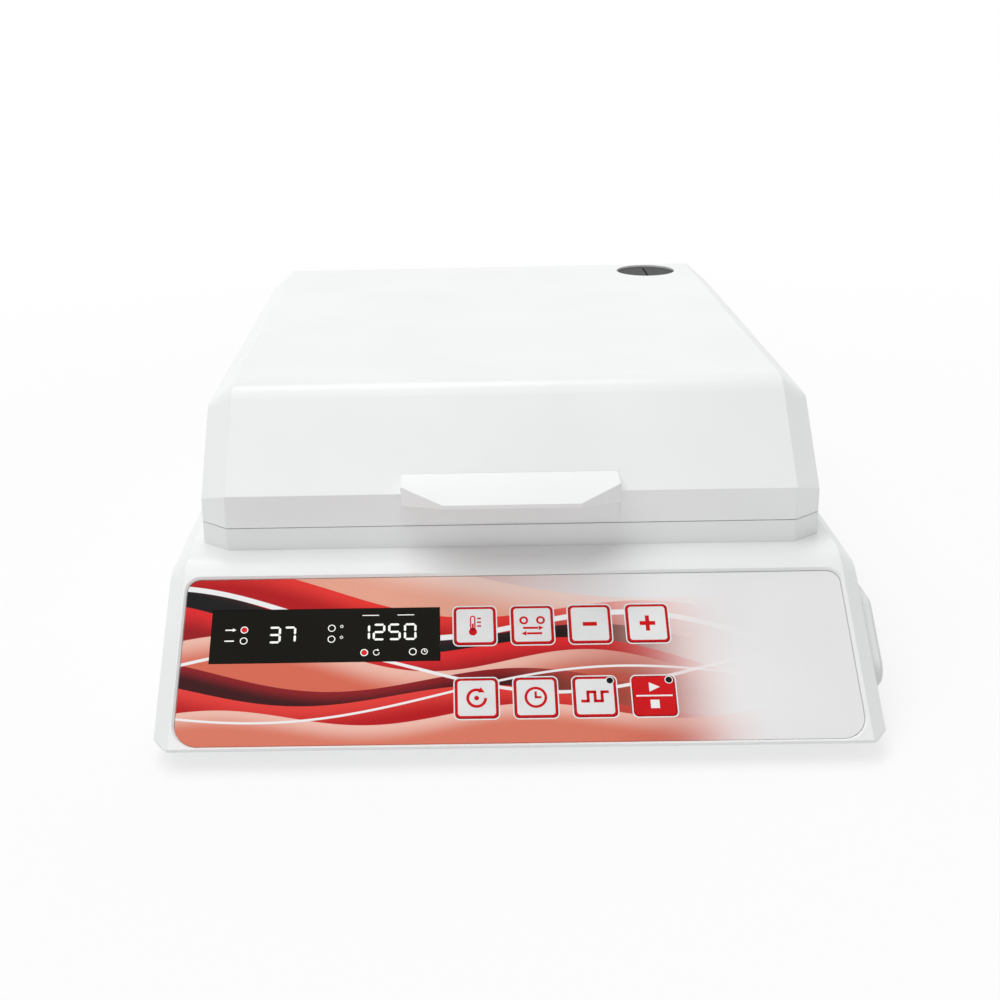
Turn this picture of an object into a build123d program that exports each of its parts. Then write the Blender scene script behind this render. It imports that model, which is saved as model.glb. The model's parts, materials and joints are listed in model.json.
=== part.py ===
from build123d import *
from math import atan2, cos, degrees, hypot, radians, sin, sqrt
import os

# Benchtop incubating microplate shaker, closed and at rest
# Millimetres, X to the right, Y to the back, Z up, the table at Z 0, the housing's middle at X 0, Y 0

# Housing
BASE_WIDTH = 270.0
BASE_DEPTH = 400.0
RIM_Z = 8.0
DECK_Z = 58.7
WALL = 3.0
FRONT_LIP = 1.0
SLOPE_RUN = 61.2
SLOPE_ROUND = 20.0
REAR_ROUND = 10.0
BASE_CHAMFER = 6.8
LEAST_ROUND = 0.6
CUT_OVER = 2.0

# Base plate, feet and screw bosses
PLATE_SHEET = 1.5
PLATE_RISE = 0.5
PLATE_CLEAR = 0.5
BOSS_RADIUS = 5.5
BOSS_HEIGHT = 30.0
BOSS_FROM_FRONT = 50.0
BOSS_FROM_REAR = 20.0
SCREW_RADIUS = 1.5
FOOT_RADIUS = 9.0
FOOT_TAPER = -6
FOOT_MIDDLE_Y = 10.0
FOOT_RECESS_RADIUS = 4.5
FOOT_INSET_X = 30.0
FOOT_INSET_Y = 40.0

# Lid and collar
COLLAR_HEIGHT = 9.1
LID_GAP = 0.25
LID_SIDE = 11.2
REAR_SHELF = 38.0
LID_SETBACK = 70.5
LID_TOP_Z = 117.0
LID_BAND = 13.2
LID_SLOPE_RUN = 36.1
RIDGE_ROUND = 15.0
LID_REAR_ROUND = 3.0
LID_CUT_ACROSS = 10.8
LID_CUT_DEPTH = 9.0
LID_WALL = 3.0
LINER_INSET = 9.0
LINER_SHEET = 1.5
LINER_RISE = 2.2
FOAM_CLEAR = 0.3

# Chamber pan, its seal, heater and insulation
PAN_FRAME = 7.6
PAN_SHEET = 1.2
PAN_CLEAR = 0.3
PAN_FLANGE = 4.5
PAN_FLOOR_Z = 45.0
PAN_CORNER = 14.0
PAN_FILLET = 4.0
LIP_HEIGHT = 1.5
SEAL_WIDTH = 3.2
SEAL_CLEAR = 0.3
HEATER_SHEET = 0.6
HEATER_MARGIN = 16.0
SENSOR_RADIUS = 2.0
SENSOR_LENGTH = 32.0
SENSOR_Z = 58.0

# Shaking drive
ORBIT_RADIUS = 1.5
FIT = 0.05
CHASSIS_INSET = 18.2
CHASSIS_SHEET = 4.0
CHASSIS_TOP_Z = 38.0
PILLAR_RADIUS = 4.0
PILLAR_INSET = 9.0
IDLER_INSET = 20.0
COLLAR_TOP_Z = 47.0
PLATFORM_Z = 49.0
SPINDLE_RADIUS = 5.0
SPINDLE_COLLAR_RADIUS = 8.0
SPINDLE_SHOULDER_RADIUS = 5.4
SPINDLE_PIN_RADIUS = 4.0
SPINDLE_BEARING_RADIUS = 11.0
SPINDLE_BEARING_WIDTH = 6.0
IDLER_RADIUS = 3.0
IDLER_COLLAR_RADIUS = 6.0
IDLER_SHOULDER_RADIUS = 4.2
IDLER_BEARING_RADIUS = 7.5
IDLER_BEARING_WIDTH = 5.0
PIN_BEARING_RADIUS = 8.0
HOUSING_WALL = 4.0
HOUSING_HEIGHT = 13.2
HOUSING_FLANGE_RADIUS = 25.0
SHAFT_CLEAR = 2.0
CUP_LIP = 1.0

# Belt and pulleys
BELT_THICKNESS = 4.0
GROOVE_CLEAR = 0.3
SPINDLE_PITCH_RADIUS = 33.0
MOTOR_PITCH_RADIUS = 10.0
PULLEY_HEIGHT = 7.0
PULLEY_LIFT = 2.5
PULLEY_RIM = 1.4
PULLEY_WEB = 2.0
WEIGHT_CLEAR = 0.6
MOTOR_SETBACK = 24.0
MOTOR_RADIUS = 18.0
MOTOR_HEIGHT = 29.0
MOTOR_SHAFT_RADIUS = 2.5
MOTOR_BEVEL = 1.0
BRACKET_SHEET = 3.0
BRACKET_WIDTH = 50.0
BRACKET_LENGTH = 37.0
BRACKET_Z = 20.0
MOTOR_BOSS_RADIUS = 5.5
PULLEY_HUB_RADIUS = 10.0
PULLEY_DISH_RADIUS = 28.0
BELT_BEVEL = 0.29

# Platform and its four plate bays
BED_GAP_X = 25.2
BED_GAP_Y = 4.9
RAIL = 3.0
RAIL_HEIGHT = 5.5
RAIL_CLEAR = 0.3
PLATFORM_THICKNESS = 7.0
PLATFORM_MARGIN = 8.0
POCKET_DEPTH = 4.0
MAT_THICKNESS = 1.5
FINGER_NOTCH = 39.0
SPRING_SHEET = 0.6
SPRING_LENGTH = 34.0
SPRING_BOW = 3.6
SPRING_REACH = 0.8

# Power supply
SUPPLY_WIDTH = 50.0
SUPPLY_HEIGHT = 21.0
CAPACITOR_RADIUS = 8.0

# Control slope
PANEL_SIDE = 7.5
PANEL_START = 0.3
PANEL_HEIGHT = 70.8
PANEL_TOP_ROUND = 6.0
PANEL_FOOT_ROUND = 10.0
RECESS_DEPTH = 1.6
RECESS_BEVEL = 0.8
RECESS_FLARE = -45
OVERLAY_SHEET = 0.6
OVERLAY_CLEAR = 0.3
KEY_SIZE = 15.7
KEY_ROUND = 1.8
KEY_CLEAR = 0.2
KEY_PROUD = 0.3
KEY_THICKNESS = 2.5
KEY_TRAVEL = 0.5
KEY_FROM_WINDOW = 57.1
KEY_PITCH = 21.9
KEY_ROWS = (48.6, 18.9)
KEY_NAMES = (("temp", "units", "minus", "plus"), ("speed", "time", "pulse", "start_stop"))
SWITCH_GAP = 0.15
SWITCH_SIZE = 6.0
SWITCH_BODY = 0.9
WINDOW_WIDTH = 87.7
WINDOW_HEIGHT = 22.6
WINDOW_FROM_EDGE = 11.55
WINDOW_UP = 45.6
WINDOW_LEDGE = 1.8
BOARD_DEPTH = 5.0
BOARD_SHEET = 1.6
BOARD_SIDE = 17.0
BOARD_START = 12.5
BOARD_HEIGHT = 55.0
BOARD_EDGE = 11.0
POST_RADIUS = 3.0
POST_BORE = 1.0
CHIP_HEIGHT = 2.0

# Rear panel and what it carries
REAR_WINDOW_SIDE = 12.0
REAR_WINDOW_Z = 12.5
REAR_WINDOW_HEIGHT = 34.0
REAR_SHEET = 1.5
REAR_LAP = 2.0
REAR_MIDDLE_Z = 30.0
INLET_FROM_SIDE = 40.0
INLET_FLANGE = (50.0, 31.0)
INLET_BODY = (31.0, 29.0)
INLET_DEPTH = 25.0
INLET_SCREWS = 40.0
SOCKET_SIZE = (24.2, 16.6)
SOCKET_DEPTH = 16.0
SOCKET_UP = 4.5
SOCKET_BEVEL = 4.0
PIN_SPACING = 7.0
PIN_STEP = 2.0
PIN_LENGTH = 11.0
PIN_SIZE = (2.0, 4.0)
DRAWER_SIZE = (26.0, 6.4)
DRAWER_DEPTH = 20.0
DRAWER_DOWN = 10.3
DRAWER_CLEAR = 0.2
ROCKER_FROM_INLET = 38.0
ROCKER_SIZE = (11.2, 17.4)
ROCKER_CLEAR = 0.6
ROCKER_TILT = 8.0
ROCKER_DEPTH = 3.4
ROCKER_CREST = 1.2
ROCKER_SET = 1.0
ROCKER_PIVOT_RADIUS = 1.2
ROCKER_PIVOT_END = 1.6
SWITCH_BEZEL = 4.0
SWITCH_DEPTH = 18.0
SWITCH_BODY_SIZE = (15.0, 24.0)
ROCKER_POCKET = 12.0
FAN_FROM_SIDE = 45.0
FAN_SIZE = 35.0
FAN_DEPTH = 10.0
FAN_DUCT_RADIUS = 16.3
FAN_HUB_RADIUS = 7.5
FAN_BLADES = 7
FAN_BLADE_SHEET = 1.0
FAN_BLADE_CHORD = 8.0
FAN_BLADE_PITCH = 52.0
FAN_ARM = 2.0
FAN_GAP = 0.6
FAN_HOLES = 29.0
GRILLE_SLOT = 2.6
GRILLE_PITCH = 4.6
GRILLE_ROWS = 3

# Side vent cover
VENT_PROUD = 4.5
VENT_SHEET = 1.8
VENT_MIDDLE_Z = 26.5
VENT_TOP_Z = 41.0
VENT_FOOT_Z = 12.0
VENT_REACH = 150.0
VENT_BORDER = 2.2
VENT_ROUND = 7.0
VENT_EDGE = 1.2
VENT_SLOTS = 9
VENT_SLOT = 3.0
VENT_SLOT_LENGTH = 24.0
VENT_PITCH = 8.4
VENT_DUCT_FROM_FRONT = 100.0
VENT_DUCT_LENGTH = 76.0
VENT_DUCT_HEIGHT = 18.0

# Handle
HANDLE_WIDTH = 86.0
HANDLE_PROUD = 1.5
HANDLE_REACH = 22.0
HANDLE_TOP_Z = 87.5
HANDLE_LIP_Z = 84.1
HANDLE_LIP = 1.7
HANDLE_ROOT_Z = 77.2
HANDLE_FOOT_Z = 69.2
HANDLE_CUT = 16.6

# Probe port
PORT_FROM_SIDE = 36.3
PORT_INSET = 21.0
PORT_RADIUS = 16.0
PORT_SHEET = 1.5
PORT_RECESS = 4.2
PORT_BORE_RADIUS = 8.5
GROMMET_THICKNESS = 3.2
GROMMET_CLEAR = 0.2
GROMMET_SLIT = 1.0

# Lid hinges
HINGE_FROM_SIDE = 38.8
HINGE_SETBACK = 9.0
HINGE_PIN_RADIUS = 2.5
HINGE_ROUND = 5.5
HINGE_ARM_WIDTH = 14.0
HINGE_EAR = 4.0
HINGE_SIDE_CLEAR = 0.4
HINGE_LEAF = 2.5
HINGE_LEAF_WIDTH = 30.0
HINGE_LEAF_HEIGHT = 24.0
HINGE_FOOT = 3.0
HINGE_FOOT_WIDTH = 36.0
HINGE_PIN_HEAD = 1.5

# Places worked out from the sizes
FRONT_Y = -BASE_DEPTH / 2
REAR_Y = BASE_DEPTH / 2
SIDE_X = BASE_WIDTH / 2
PARTING_Z = DECK_Z + COLLAR_HEIGHT
LID_Z = PARTING_Z + LID_GAP
LID_WIDTH = BASE_WIDTH - 2 * LID_SIDE
LID_FRONT_Y = FRONT_Y + LID_SETBACK
LID_REAR_Y = REAR_Y - REAR_SHELF
CHAMBER_Y = (LID_FRONT_Y + LID_REAR_Y) / 2
FLANGE_Z = LID_Z + LINER_RISE
PLATE_TOP_Z = RIM_Z + PLATE_RISE + PLATE_SHEET
PANEL_WIDTH = BASE_WIDTH - 2 * PANEL_SIDE
PANEL_FOOT_Z = RIM_Z + FRONT_LIP
PANEL_ANGLE = atan2(DECK_Z - PANEL_FOOT_Z, SLOPE_RUN)
PANEL_ORIGIN = (0, FRONT_Y, PANEL_FOOT_Z)
PANEL_NORMAL = (0, -sin(PANEL_ANGLE), cos(PANEL_ANGLE))
PANEL_MIDDLE = PANEL_START + PANEL_HEIGHT / 2
WINDOW_X = WINDOW_FROM_EDGE + WINDOW_WIDTH / 2 - PANEL_WIDTH / 2
KEY_FIRST_X = WINDOW_X + KEY_FROM_WINDOW
KEY_BACK = RECESS_DEPTH - OVERLAY_SHEET - KEY_PROUD + KEY_THICKNESS
BOARD_WIDTH = BASE_WIDTH - 2 * BOARD_SIDE
PAN_WIDTH = LID_WIDTH - 2 * PAN_FRAME
PAN_LENGTH = LID_REAR_Y - LID_FRONT_Y - 2 * PAN_FRAME
SENSOR_X = 2 * SENSOR_RADIUS - PAN_WIDTH / 2
CHASSIS_WIDTH = PAN_WIDTH - 2 * CHASSIS_INSET
CHASSIS_LENGTH = PAN_LENGTH - 2 * CHASSIS_INSET
PILLAR_SPACING_X = CHASSIS_WIDTH - 2 * PILLAR_INSET
PILLAR_SPACING_Y = CHASSIS_LENGTH / 2 - PILLAR_INSET
IDLER_SPACING_X = CHASSIS_WIDTH - 2 * IDLER_INSET
IDLER_SPACING_Y = CHASSIS_LENGTH - 2 * IDLER_INSET
BED_WIDTH = PAN_WIDTH - 2 * BED_GAP_X
BED_LENGTH = PAN_LENGTH - 2 * BED_GAP_Y
BAY_WIDTH = (BED_WIDTH - 3 * RAIL) / 2
BAY_LENGTH = (BED_LENGTH - 3 * RAIL) / 2
PLATFORM_TOP_Z = PLATFORM_Z + PLATFORM_THICKNESS
PULLEY_Z = PLATE_TOP_Z + PULLEY_LIFT
HOUSING_TOP_Z = CHASSIS_TOP_Z - CHASSIS_SHEET
BELT_Z = PULLEY_Z + PULLEY_HEIGHT / 2
MOTOR_Y = REAR_Y - MOTOR_SETBACK
SUPPLY_LENGTH = PILLAR_SPACING_Y - 4 * PILLAR_RADIUS
SUPPLY_X = -PILLAR_SPACING_X / 2
SUPPLY_Y = CHAMBER_Y + PILLAR_SPACING_Y / 2
HINGE_SPACING = LID_WIDTH - 2 * HINGE_FROM_SIDE
HINGE_Y = LID_REAR_Y + HINGE_SETBACK
PORT_X = LID_WIDTH / 2 - PORT_FROM_SIDE
PORT_Y = LID_REAR_Y - PORT_INSET
PORT_FLOOR_Z = LID_TOP_Z - PORT_RECESS
PORT_FOOT_Z = LID_TOP_Z - LINER_INSET - LINER_SHEET - LEAST_ROUND
REAR_WINDOW_WIDTH = BASE_WIDTH - 2 * REAR_WINDOW_SIDE
REAR_PANEL_Y = REAR_Y - WALL
INLET_X = INLET_FROM_SIDE - SIDE_X
SOCKET_Z = REAR_MIDDLE_Z + SOCKET_UP
DRAWER_Z = REAR_MIDDLE_Z - DRAWER_DOWN
ROCKER_X = INLET_X + ROCKER_FROM_INLET
ROCKER_Y = REAR_Y - ROCKER_DEPTH - ROCKER_SET
FAN_X = SIDE_X - FAN_FROM_SIDE
VENT_REAR_Y = FRONT_Y + VENT_REACH
VENT_DUCT_Y = FRONT_Y + VENT_DUCT_FROM_FRONT

os.makedirs("parts", exist_ok=True)


def save(piece, name):
    """Names a finished piece and writes it."""
    piece.part.label = name
    export_step(piece.part, f"parts/{name}.step")


def level(z):
    """Level plane at height z, over the housing's middle."""
    return Plane.XY.offset(z)


def panel(depth):
    """Plane below the control slope's face, Y running up the slope from its foot."""
    return Plane(origin=PANEL_ORIGIN, x_dir=(1, 0, 0), z_dir=PANEL_NORMAL).offset(-depth)


def upright(x, y):
    """Upright plane through x, y that faces the front, its own Y along Z."""
    return Plane(origin=(x, y, 0), x_dir=(1, 0, 0), z_dir=(0, -1, 0))


def vertical(x, y):
    """Vertical axis at x, y."""
    return Axis((x, y, 0), (0, 0, 1))


def drawn_in(radius, inset):
    """Radius of a round once the form is drawn in by inset."""
    return max(radius - inset, LEAST_ROUND)


def housing_form(inset):
    """Housing's solid form, drawn in by inset on each face over its open underside."""
    with BuildPart() as form:
        with BuildSketch(Plane.YZ.offset(inset - SIDE_X)):
            with BuildLine():
                Polyline(
                    (FRONT_Y, -DECK_Z),
                    (REAR_Y, -DECK_Z),
                    (REAR_Y, DECK_Z),
                    (FRONT_Y + SLOPE_RUN, DECK_Z),
                    (FRONT_Y, PANEL_FOOT_Z),
                    close=True,
                )
            make_face()
            if inset:
                offset(amount=-inset, kind=Kind.INTERSECTION)
            fillet(vertices().group_by(Axis.Y)[-1].sort_by(Axis.X)[0], drawn_in(SLOPE_ROUND, inset))
            fillet(vertices().group_by(Axis.Y)[-1].sort_by(Axis.X)[-1], drawn_in(REAR_ROUND, inset))
        extrude(amount=BASE_WIDTH - 2 * inset)
        flanks = faces().filter_by(Axis.X).edges()
        rims = flanks.filter_by(lambda edge: edge.center().Z > -DECK_Z / 2)
        chamfer(rims, BASE_CHAMFER - inset * (2 - sqrt(2)))
        foot = RIM_Z - CUT_OVER if inset else RIM_Z
        split(bisect_by=level(foot), keep=Keep.TOP)
    return form.part


def lid_cuts(inset):
    """Lengths of the lid's corner cut, across and in depth, once drawn in by inset."""
    across, deep = LID_CUT_ACROSS, LID_CUT_DEPTH
    share = 1 - inset * (1 / across + 1 / deep - hypot(1 / across, 1 / deep))
    return across * share, deep * share


def lid_form(inset, foot_z):
    """Lid's solid form, drawn in by inset and cut level at foot_z."""
    across, deep = lid_cuts(inset)
    with BuildPart() as form:
        with BuildSketch(Plane.YZ.offset(-LID_WIDTH / 2 + inset)):
            with BuildLine():
                Polyline(
                    (LID_FRONT_Y, 0),
                    (LID_REAR_Y, 0),
                    (LID_REAR_Y, LID_TOP_Z),
                    (LID_FRONT_Y + LID_SLOPE_RUN, LID_TOP_Z),
                    (LID_FRONT_Y, LID_Z + LID_BAND),
                    close=True,
                )
            make_face()
            if inset:
                offset(amount=-inset, kind=Kind.INTERSECTION)
            fillet(vertices().group_by(Axis.Y)[-1].sort_by(Axis.X)[0], drawn_in(RIDGE_ROUND, inset))
        extrude(amount=LID_WIDTH - 2 * inset)
        for flank in faces().filter_by(Axis.X).sort_by(Axis.X):
            rims = flank.edges().filter_by(lambda edge: edge.center().Z > LID_Z / 2)
            chamfer(rims, length=deep, length2=across, reference=flank)
        split(bisect_by=level(foot_z), keep=Keep.TOP)
    return form.part


def lid_outline(inset):
    """Plan outline of the lid and its collar with cut corners, drawn in by inset."""
    across, deep = lid_cuts(inset)
    side = LID_WIDTH / 2 - inset
    front = LID_FRONT_Y + inset
    back = LID_REAR_Y - inset
    with BuildSketch() as outline:
        with BuildLine():
            Polyline(
                (-side, front + deep),
                (-side + across, front),
                (side - across, front),
                (side, front + deep),
                (side, back - deep),
                (side - across, back),
                (-side + across, back),
                (-side, back - deep),
                close=True,
            )
        make_face()
    return outline.sketch


def pan_outline(grow):
    """Plan outline of the chamber pan's inside, grown by grow."""
    with BuildSketch() as outline:
        with Locations((0, CHAMBER_Y)):
            RectangleRounded(PAN_WIDTH + 2 * grow, PAN_LENGTH + 2 * grow, drawn_in(PAN_CORNER, -grow))
    return outline.sketch


def pan_form(grow):
    """Chamber pan's inner form, grown by grow, up to the parting plane and past it."""
    with BuildPart() as form:
        with BuildSketch(level(PAN_FLOOR_Z - grow)):
            add(pan_outline(grow))
        extrude(amount=PARTING_Z - PAN_FLOOR_Z + grow)
        fillet(edges().group_by(Axis.Z)[0], PAN_FILLET + grow)
    return form.part


def panel_outline(inset):
    """Outline of the control slope's recess on the slope, drawn in by inset."""
    with BuildSketch() as outline:
        with Locations((0, PANEL_MIDDLE)):
            Rectangle(PANEL_WIDTH - 2 * inset, PANEL_HEIGHT - 2 * inset)
        fillet(vertices().group_by(Axis.Y)[-1], PANEL_TOP_ROUND - inset)
        fillet(vertices().group_by(Axis.Y)[0], PANEL_FOOT_ROUND - inset)
    return outline.sketch


def vent_outline(inset):
    """Side vent cover's outline on the side wall, its front edge parallel to the control slope."""
    lean = SLOPE_RUN / (DECK_Z - PANEL_FOOT_Z)
    bevel = BASE_CHAMFER + VENT_BORDER + inset
    front = FRONT_Y + bevel / sin(PANEL_ANGLE)
    low, high = VENT_FOOT_Z + inset, VENT_TOP_Z - inset
    with BuildSketch() as outline:
        with BuildLine():
            Polyline(
                (front + (low - PANEL_FOOT_Z) * lean, low),
                (VENT_REAR_Y - inset, low),
                (VENT_REAR_Y - inset, high),
                (front + (high - PANEL_FOOT_Z) * lean, high),
                close=True,
            )
        make_face()
        fillet(vertices(), VENT_ROUND - inset)
    return outline.sketch


def key_places():
    """Centres of the eight keys on the control slope, row by row."""
    columns = range(len(KEY_NAMES[0]))
    return [(KEY_FIRST_X + KEY_PITCH * column, row) for row in KEY_ROWS for column in columns]


def grid(spacing_x, spacing_y, middle_x, middle_y):
    """Four corner places of a rectangle round a middle point."""
    signs = ((-1, -1), (1, -1), (-1, 1), (1, 1))
    return [(middle_x + x * spacing_x / 2, middle_y + y * spacing_y / 2) for x, y in signs]


BOSS_X = SIDE_X - WALL - BOSS_RADIUS + LEAST_ROUND
BOSS_ROWS = (FRONT_Y + BOSS_FROM_FRONT, CHAMBER_Y, REAR_Y - BOSS_FROM_REAR)
BOSS_PLACES = [(side * BOSS_X, y) for side in (-1, 1) for y in BOSS_ROWS]
FOOT_PLACES = grid(BASE_WIDTH - 2 * FOOT_INSET_X, BASE_DEPTH - 2 * FOOT_INSET_Y, 0, FOOT_MIDDLE_Y)
IDLER_PLACES = grid(IDLER_SPACING_X, IDLER_SPACING_Y, 0, CHAMBER_Y)
IDLER_NAMES = ("front_left", "front_right", "rear_left", "rear_right")
PILLAR_PLACES = [
    (side * PILLAR_SPACING_X / 2, CHAMBER_Y + row * PILLAR_SPACING_Y) for side in (-1, 1) for row in (-1, 0, 1)
]
BAY_PLACES = grid(BAY_WIDTH + RAIL, BAY_LENGTH + RAIL, ORBIT_RADIUS, CHAMBER_Y)
BOARD_BOSSES = grid(BOARD_WIDTH - BOARD_EDGE, BOARD_HEIGHT - BOARD_EDGE, 0, BOARD_START + BOARD_HEIGHT / 2)


def shaft_holes(grow):
    """Openings round the spindle and the idler cranks."""
    with BuildSketch() as holes:
        with Locations((0, CHAMBER_Y)):
            Circle(SPINDLE_COLLAR_RADIUS + SHAFT_CLEAR + grow)
        with Locations(IDLER_PLACES):
            Circle(IDLER_COLLAR_RADIUS + SHAFT_CLEAR + grow)
    return holes.sketch


# Casing

with BuildPart() as base_housing:
    add(housing_form(0))
    add(housing_form(WALL), mode=Mode.SUBTRACT)
    with BuildSketch(level(DECK_Z - WALL)):
        add(lid_outline(0))
    extrude(amount=COLLAR_HEIGHT + WALL)
    with BuildSketch(level(DECK_Z - 2 * WALL)):
        add(pan_outline(PAN_SHEET + PAN_CLEAR))
    extrude(amount=COLLAR_HEIGHT + 3 * WALL, mode=Mode.SUBTRACT)
    with BuildSketch(level(PARTING_Z - PAN_SHEET)):
        add(pan_outline(PAN_FLANGE + PAN_CLEAR))
    extrude(amount=2 * PAN_SHEET, mode=Mode.SUBTRACT)
    # Bosses down the side walls for the base plate's screws
    with BuildSketch(level(PLATE_TOP_Z)):
        with Locations(BOSS_PLACES):
            Circle(BOSS_RADIUS)
            Circle(SCREW_RADIUS, mode=Mode.SUBTRACT)
    extrude(amount=BOSS_HEIGHT)
    # Recess, window and key openings of the control slope
    with BuildSketch(panel(RECESS_DEPTH)):
        add(panel_outline(RECESS_BEVEL))
    extrude(amount=3 * RECESS_DEPTH, mode=Mode.SUBTRACT)
    with BuildSketch(panel(RECESS_BEVEL)):
        add(panel_outline(RECESS_BEVEL))
    extrude(amount=RECESS_BEVEL + LEAST_ROUND, taper=RECESS_FLARE, mode=Mode.SUBTRACT)
    with BuildSketch(panel(WALL + CUT_OVER)):
        with Locations((WINDOW_X, WINDOW_UP)):
            Rectangle(WINDOW_WIDTH - 2 * WINDOW_LEDGE, WINDOW_HEIGHT - 2 * WINDOW_LEDGE)
        with Locations(key_places()):
            RectangleRounded(KEY_SIZE + 2 * KEY_CLEAR, KEY_SIZE + 2 * KEY_CLEAR, KEY_ROUND)
    extrude(amount=WALL + 2 * CUT_OVER, mode=Mode.SUBTRACT)
    # Posts that hold the control board off the slope's inner face
    with BuildSketch(panel(BOARD_DEPTH)):
        with Locations(BOARD_BOSSES):
            Circle(POST_RADIUS)
            Circle(POST_BORE, mode=Mode.SUBTRACT)
    extrude(amount=BOARD_DEPTH - WALL + LEAST_ROUND)
    # Window for the rear panel
    with BuildSketch(upright(0, REAR_Y + CUT_OVER)):
        with Locations((0, REAR_WINDOW_Z + REAR_WINDOW_HEIGHT / 2)):
            RectangleRounded(REAR_WINDOW_WIDTH, REAR_WINDOW_HEIGHT, WALL)
    extrude(amount=WALL + 2 * CUT_OVER, mode=Mode.SUBTRACT)
    # Air opening behind the side vent cover
    with BuildSketch(Plane.YZ.offset(SIDE_X - 2 * WALL)):
        with Locations((VENT_DUCT_Y, VENT_MIDDLE_Z)):
            RectangleRounded(VENT_DUCT_LENGTH, VENT_DUCT_HEIGHT, WALL)
    extrude(amount=3 * WALL, mode=Mode.SUBTRACT)
save(base_housing, "base_housing")

with BuildPart() as base_plate:
    with BuildSketch(level(PLATE_TOP_Z - PLATE_SHEET)):
        with Locations((0, PLATE_CLEAR)):
            Rectangle(BASE_WIDTH - 2 * WALL - 2 * PLATE_CLEAR, BASE_DEPTH - 4 * WALL - 2 * PLATE_CLEAR)
        chamfer(vertices(), BASE_CHAMFER)
        with Locations(BOSS_PLACES + FOOT_PLACES):
            Circle(SCREW_RADIUS, mode=Mode.SUBTRACT)
    extrude(amount=PLATE_SHEET)
save(base_plate, "base_plate")

with BuildPart() as rubber_feet:
    with BuildSketch(level(0)):
        with Locations(FOOT_PLACES):
            Circle(FOOT_RADIUS)
    extrude(amount=RIM_Z + PLATE_RISE, taper=FOOT_TAPER)
    with BuildSketch(level(0)):
        with Locations(FOOT_PLACES):
            Circle(FOOT_RECESS_RADIUS)
    extrude(amount=RIM_Z / 2, mode=Mode.SUBTRACT)
save(rubber_feet, "rubber_feet")

with BuildPart() as side_vent_cover:
    with BuildSketch(Plane.YZ.offset(SIDE_X)):
        add(vent_outline(0))
    extrude(amount=VENT_PROUD)
    chamfer(faces().sort_by(Axis.X)[-1].edges(), VENT_EDGE)
    with BuildSketch(Plane.YZ.offset(SIDE_X)):
        add(vent_outline(VENT_SHEET))
    extrude(amount=VENT_PROUD - VENT_SHEET, mode=Mode.SUBTRACT)
    with BuildSketch(Plane.YZ.offset(SIDE_X)):
        for slot in range(VENT_SLOTS):
            with Locations((VENT_DUCT_Y + (slot - (VENT_SLOTS - 1) / 2) * VENT_PITCH, VENT_MIDDLE_Z)):
                SlotOverall(VENT_SLOT_LENGTH, VENT_SLOT, rotation=degrees(PANEL_ANGLE))
    extrude(amount=2 * VENT_PROUD, mode=Mode.SUBTRACT)
save(side_vent_cover, "side_vent_cover")

with BuildPart() as rear_panel:
    with BuildSketch(upright(0, REAR_PANEL_Y)):
        with Locations((0, REAR_WINDOW_Z + REAR_WINDOW_HEIGHT / 2)):
            Rectangle(REAR_WINDOW_WIDTH + 2 * REAR_LAP, REAR_WINDOW_HEIGHT + 2 * REAR_LAP)
        with Locations((INLET_X, REAR_MIDDLE_Z)):
            Rectangle(INLET_BODY[0] + PAN_CLEAR, INLET_BODY[1] + PAN_CLEAR, mode=Mode.SUBTRACT)
        with Locations((ROCKER_X, REAR_MIDDLE_Z)):
            Rectangle(SWITCH_BODY_SIZE[0] + PAN_CLEAR, SWITCH_BODY_SIZE[1] + PAN_CLEAR, mode=Mode.SUBTRACT)
        for row in range(-GRILLE_ROWS, GRILLE_ROWS + 1):
            with Locations((FAN_X, REAR_MIDDLE_Z + row * GRILLE_PITCH)):
                chord = 2 * sqrt(FAN_DUCT_RADIUS**2 - (row * GRILLE_PITCH) ** 2)
                SlotOverall(chord, GRILLE_SLOT, mode=Mode.SUBTRACT)
        with Locations(grid(FAN_HOLES, FAN_HOLES, FAN_X, REAR_MIDDLE_Z)):
            Circle(SCREW_RADIUS, mode=Mode.SUBTRACT)
    extrude(amount=REAR_SHEET)
save(rear_panel, "rear_panel")

with BuildPart() as mains_inlet:
    with BuildSketch(upright(INLET_X, REAR_Y - FIT)):
        with Locations((0, REAR_MIDDLE_Z)):
            RectangleRounded(INLET_FLANGE[0], INLET_FLANGE[1], WALL)
    extrude(amount=WALL - FIT)
    with BuildSketch(upright(INLET_X, REAR_PANEL_Y)):
        with Locations((0, REAR_MIDDLE_Z)):
            Rectangle(INLET_BODY[0], INLET_BODY[1])
    extrude(amount=INLET_DEPTH)
    with BuildSketch(upright(INLET_X, REAR_Y)):
        with Locations((0, SOCKET_Z)):
            Rectangle(SOCKET_SIZE[0], SOCKET_SIZE[1])
        chamfer(vertices().group_by(Axis.Y)[-1], SOCKET_BEVEL)
    extrude(amount=SOCKET_DEPTH, mode=Mode.SUBTRACT)
    with BuildSketch(upright(INLET_X, REAR_Y)):
        with Locations((0, DRAWER_Z)):
            Rectangle(DRAWER_SIZE[0] + 2 * DRAWER_CLEAR, DRAWER_SIZE[1] + 2 * DRAWER_CLEAR)
    extrude(amount=DRAWER_DEPTH, mode=Mode.SUBTRACT)
    with BuildSketch(upright(INLET_X, REAR_Y)):
        with Locations((-INLET_SCREWS / 2, REAR_MIDDLE_Z), (INLET_SCREWS / 2, REAR_MIDDLE_Z)):
            Circle(SCREW_RADIUS)
    extrude(amount=WALL, mode=Mode.SUBTRACT)
save(mains_inlet, "mains_inlet")

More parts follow.
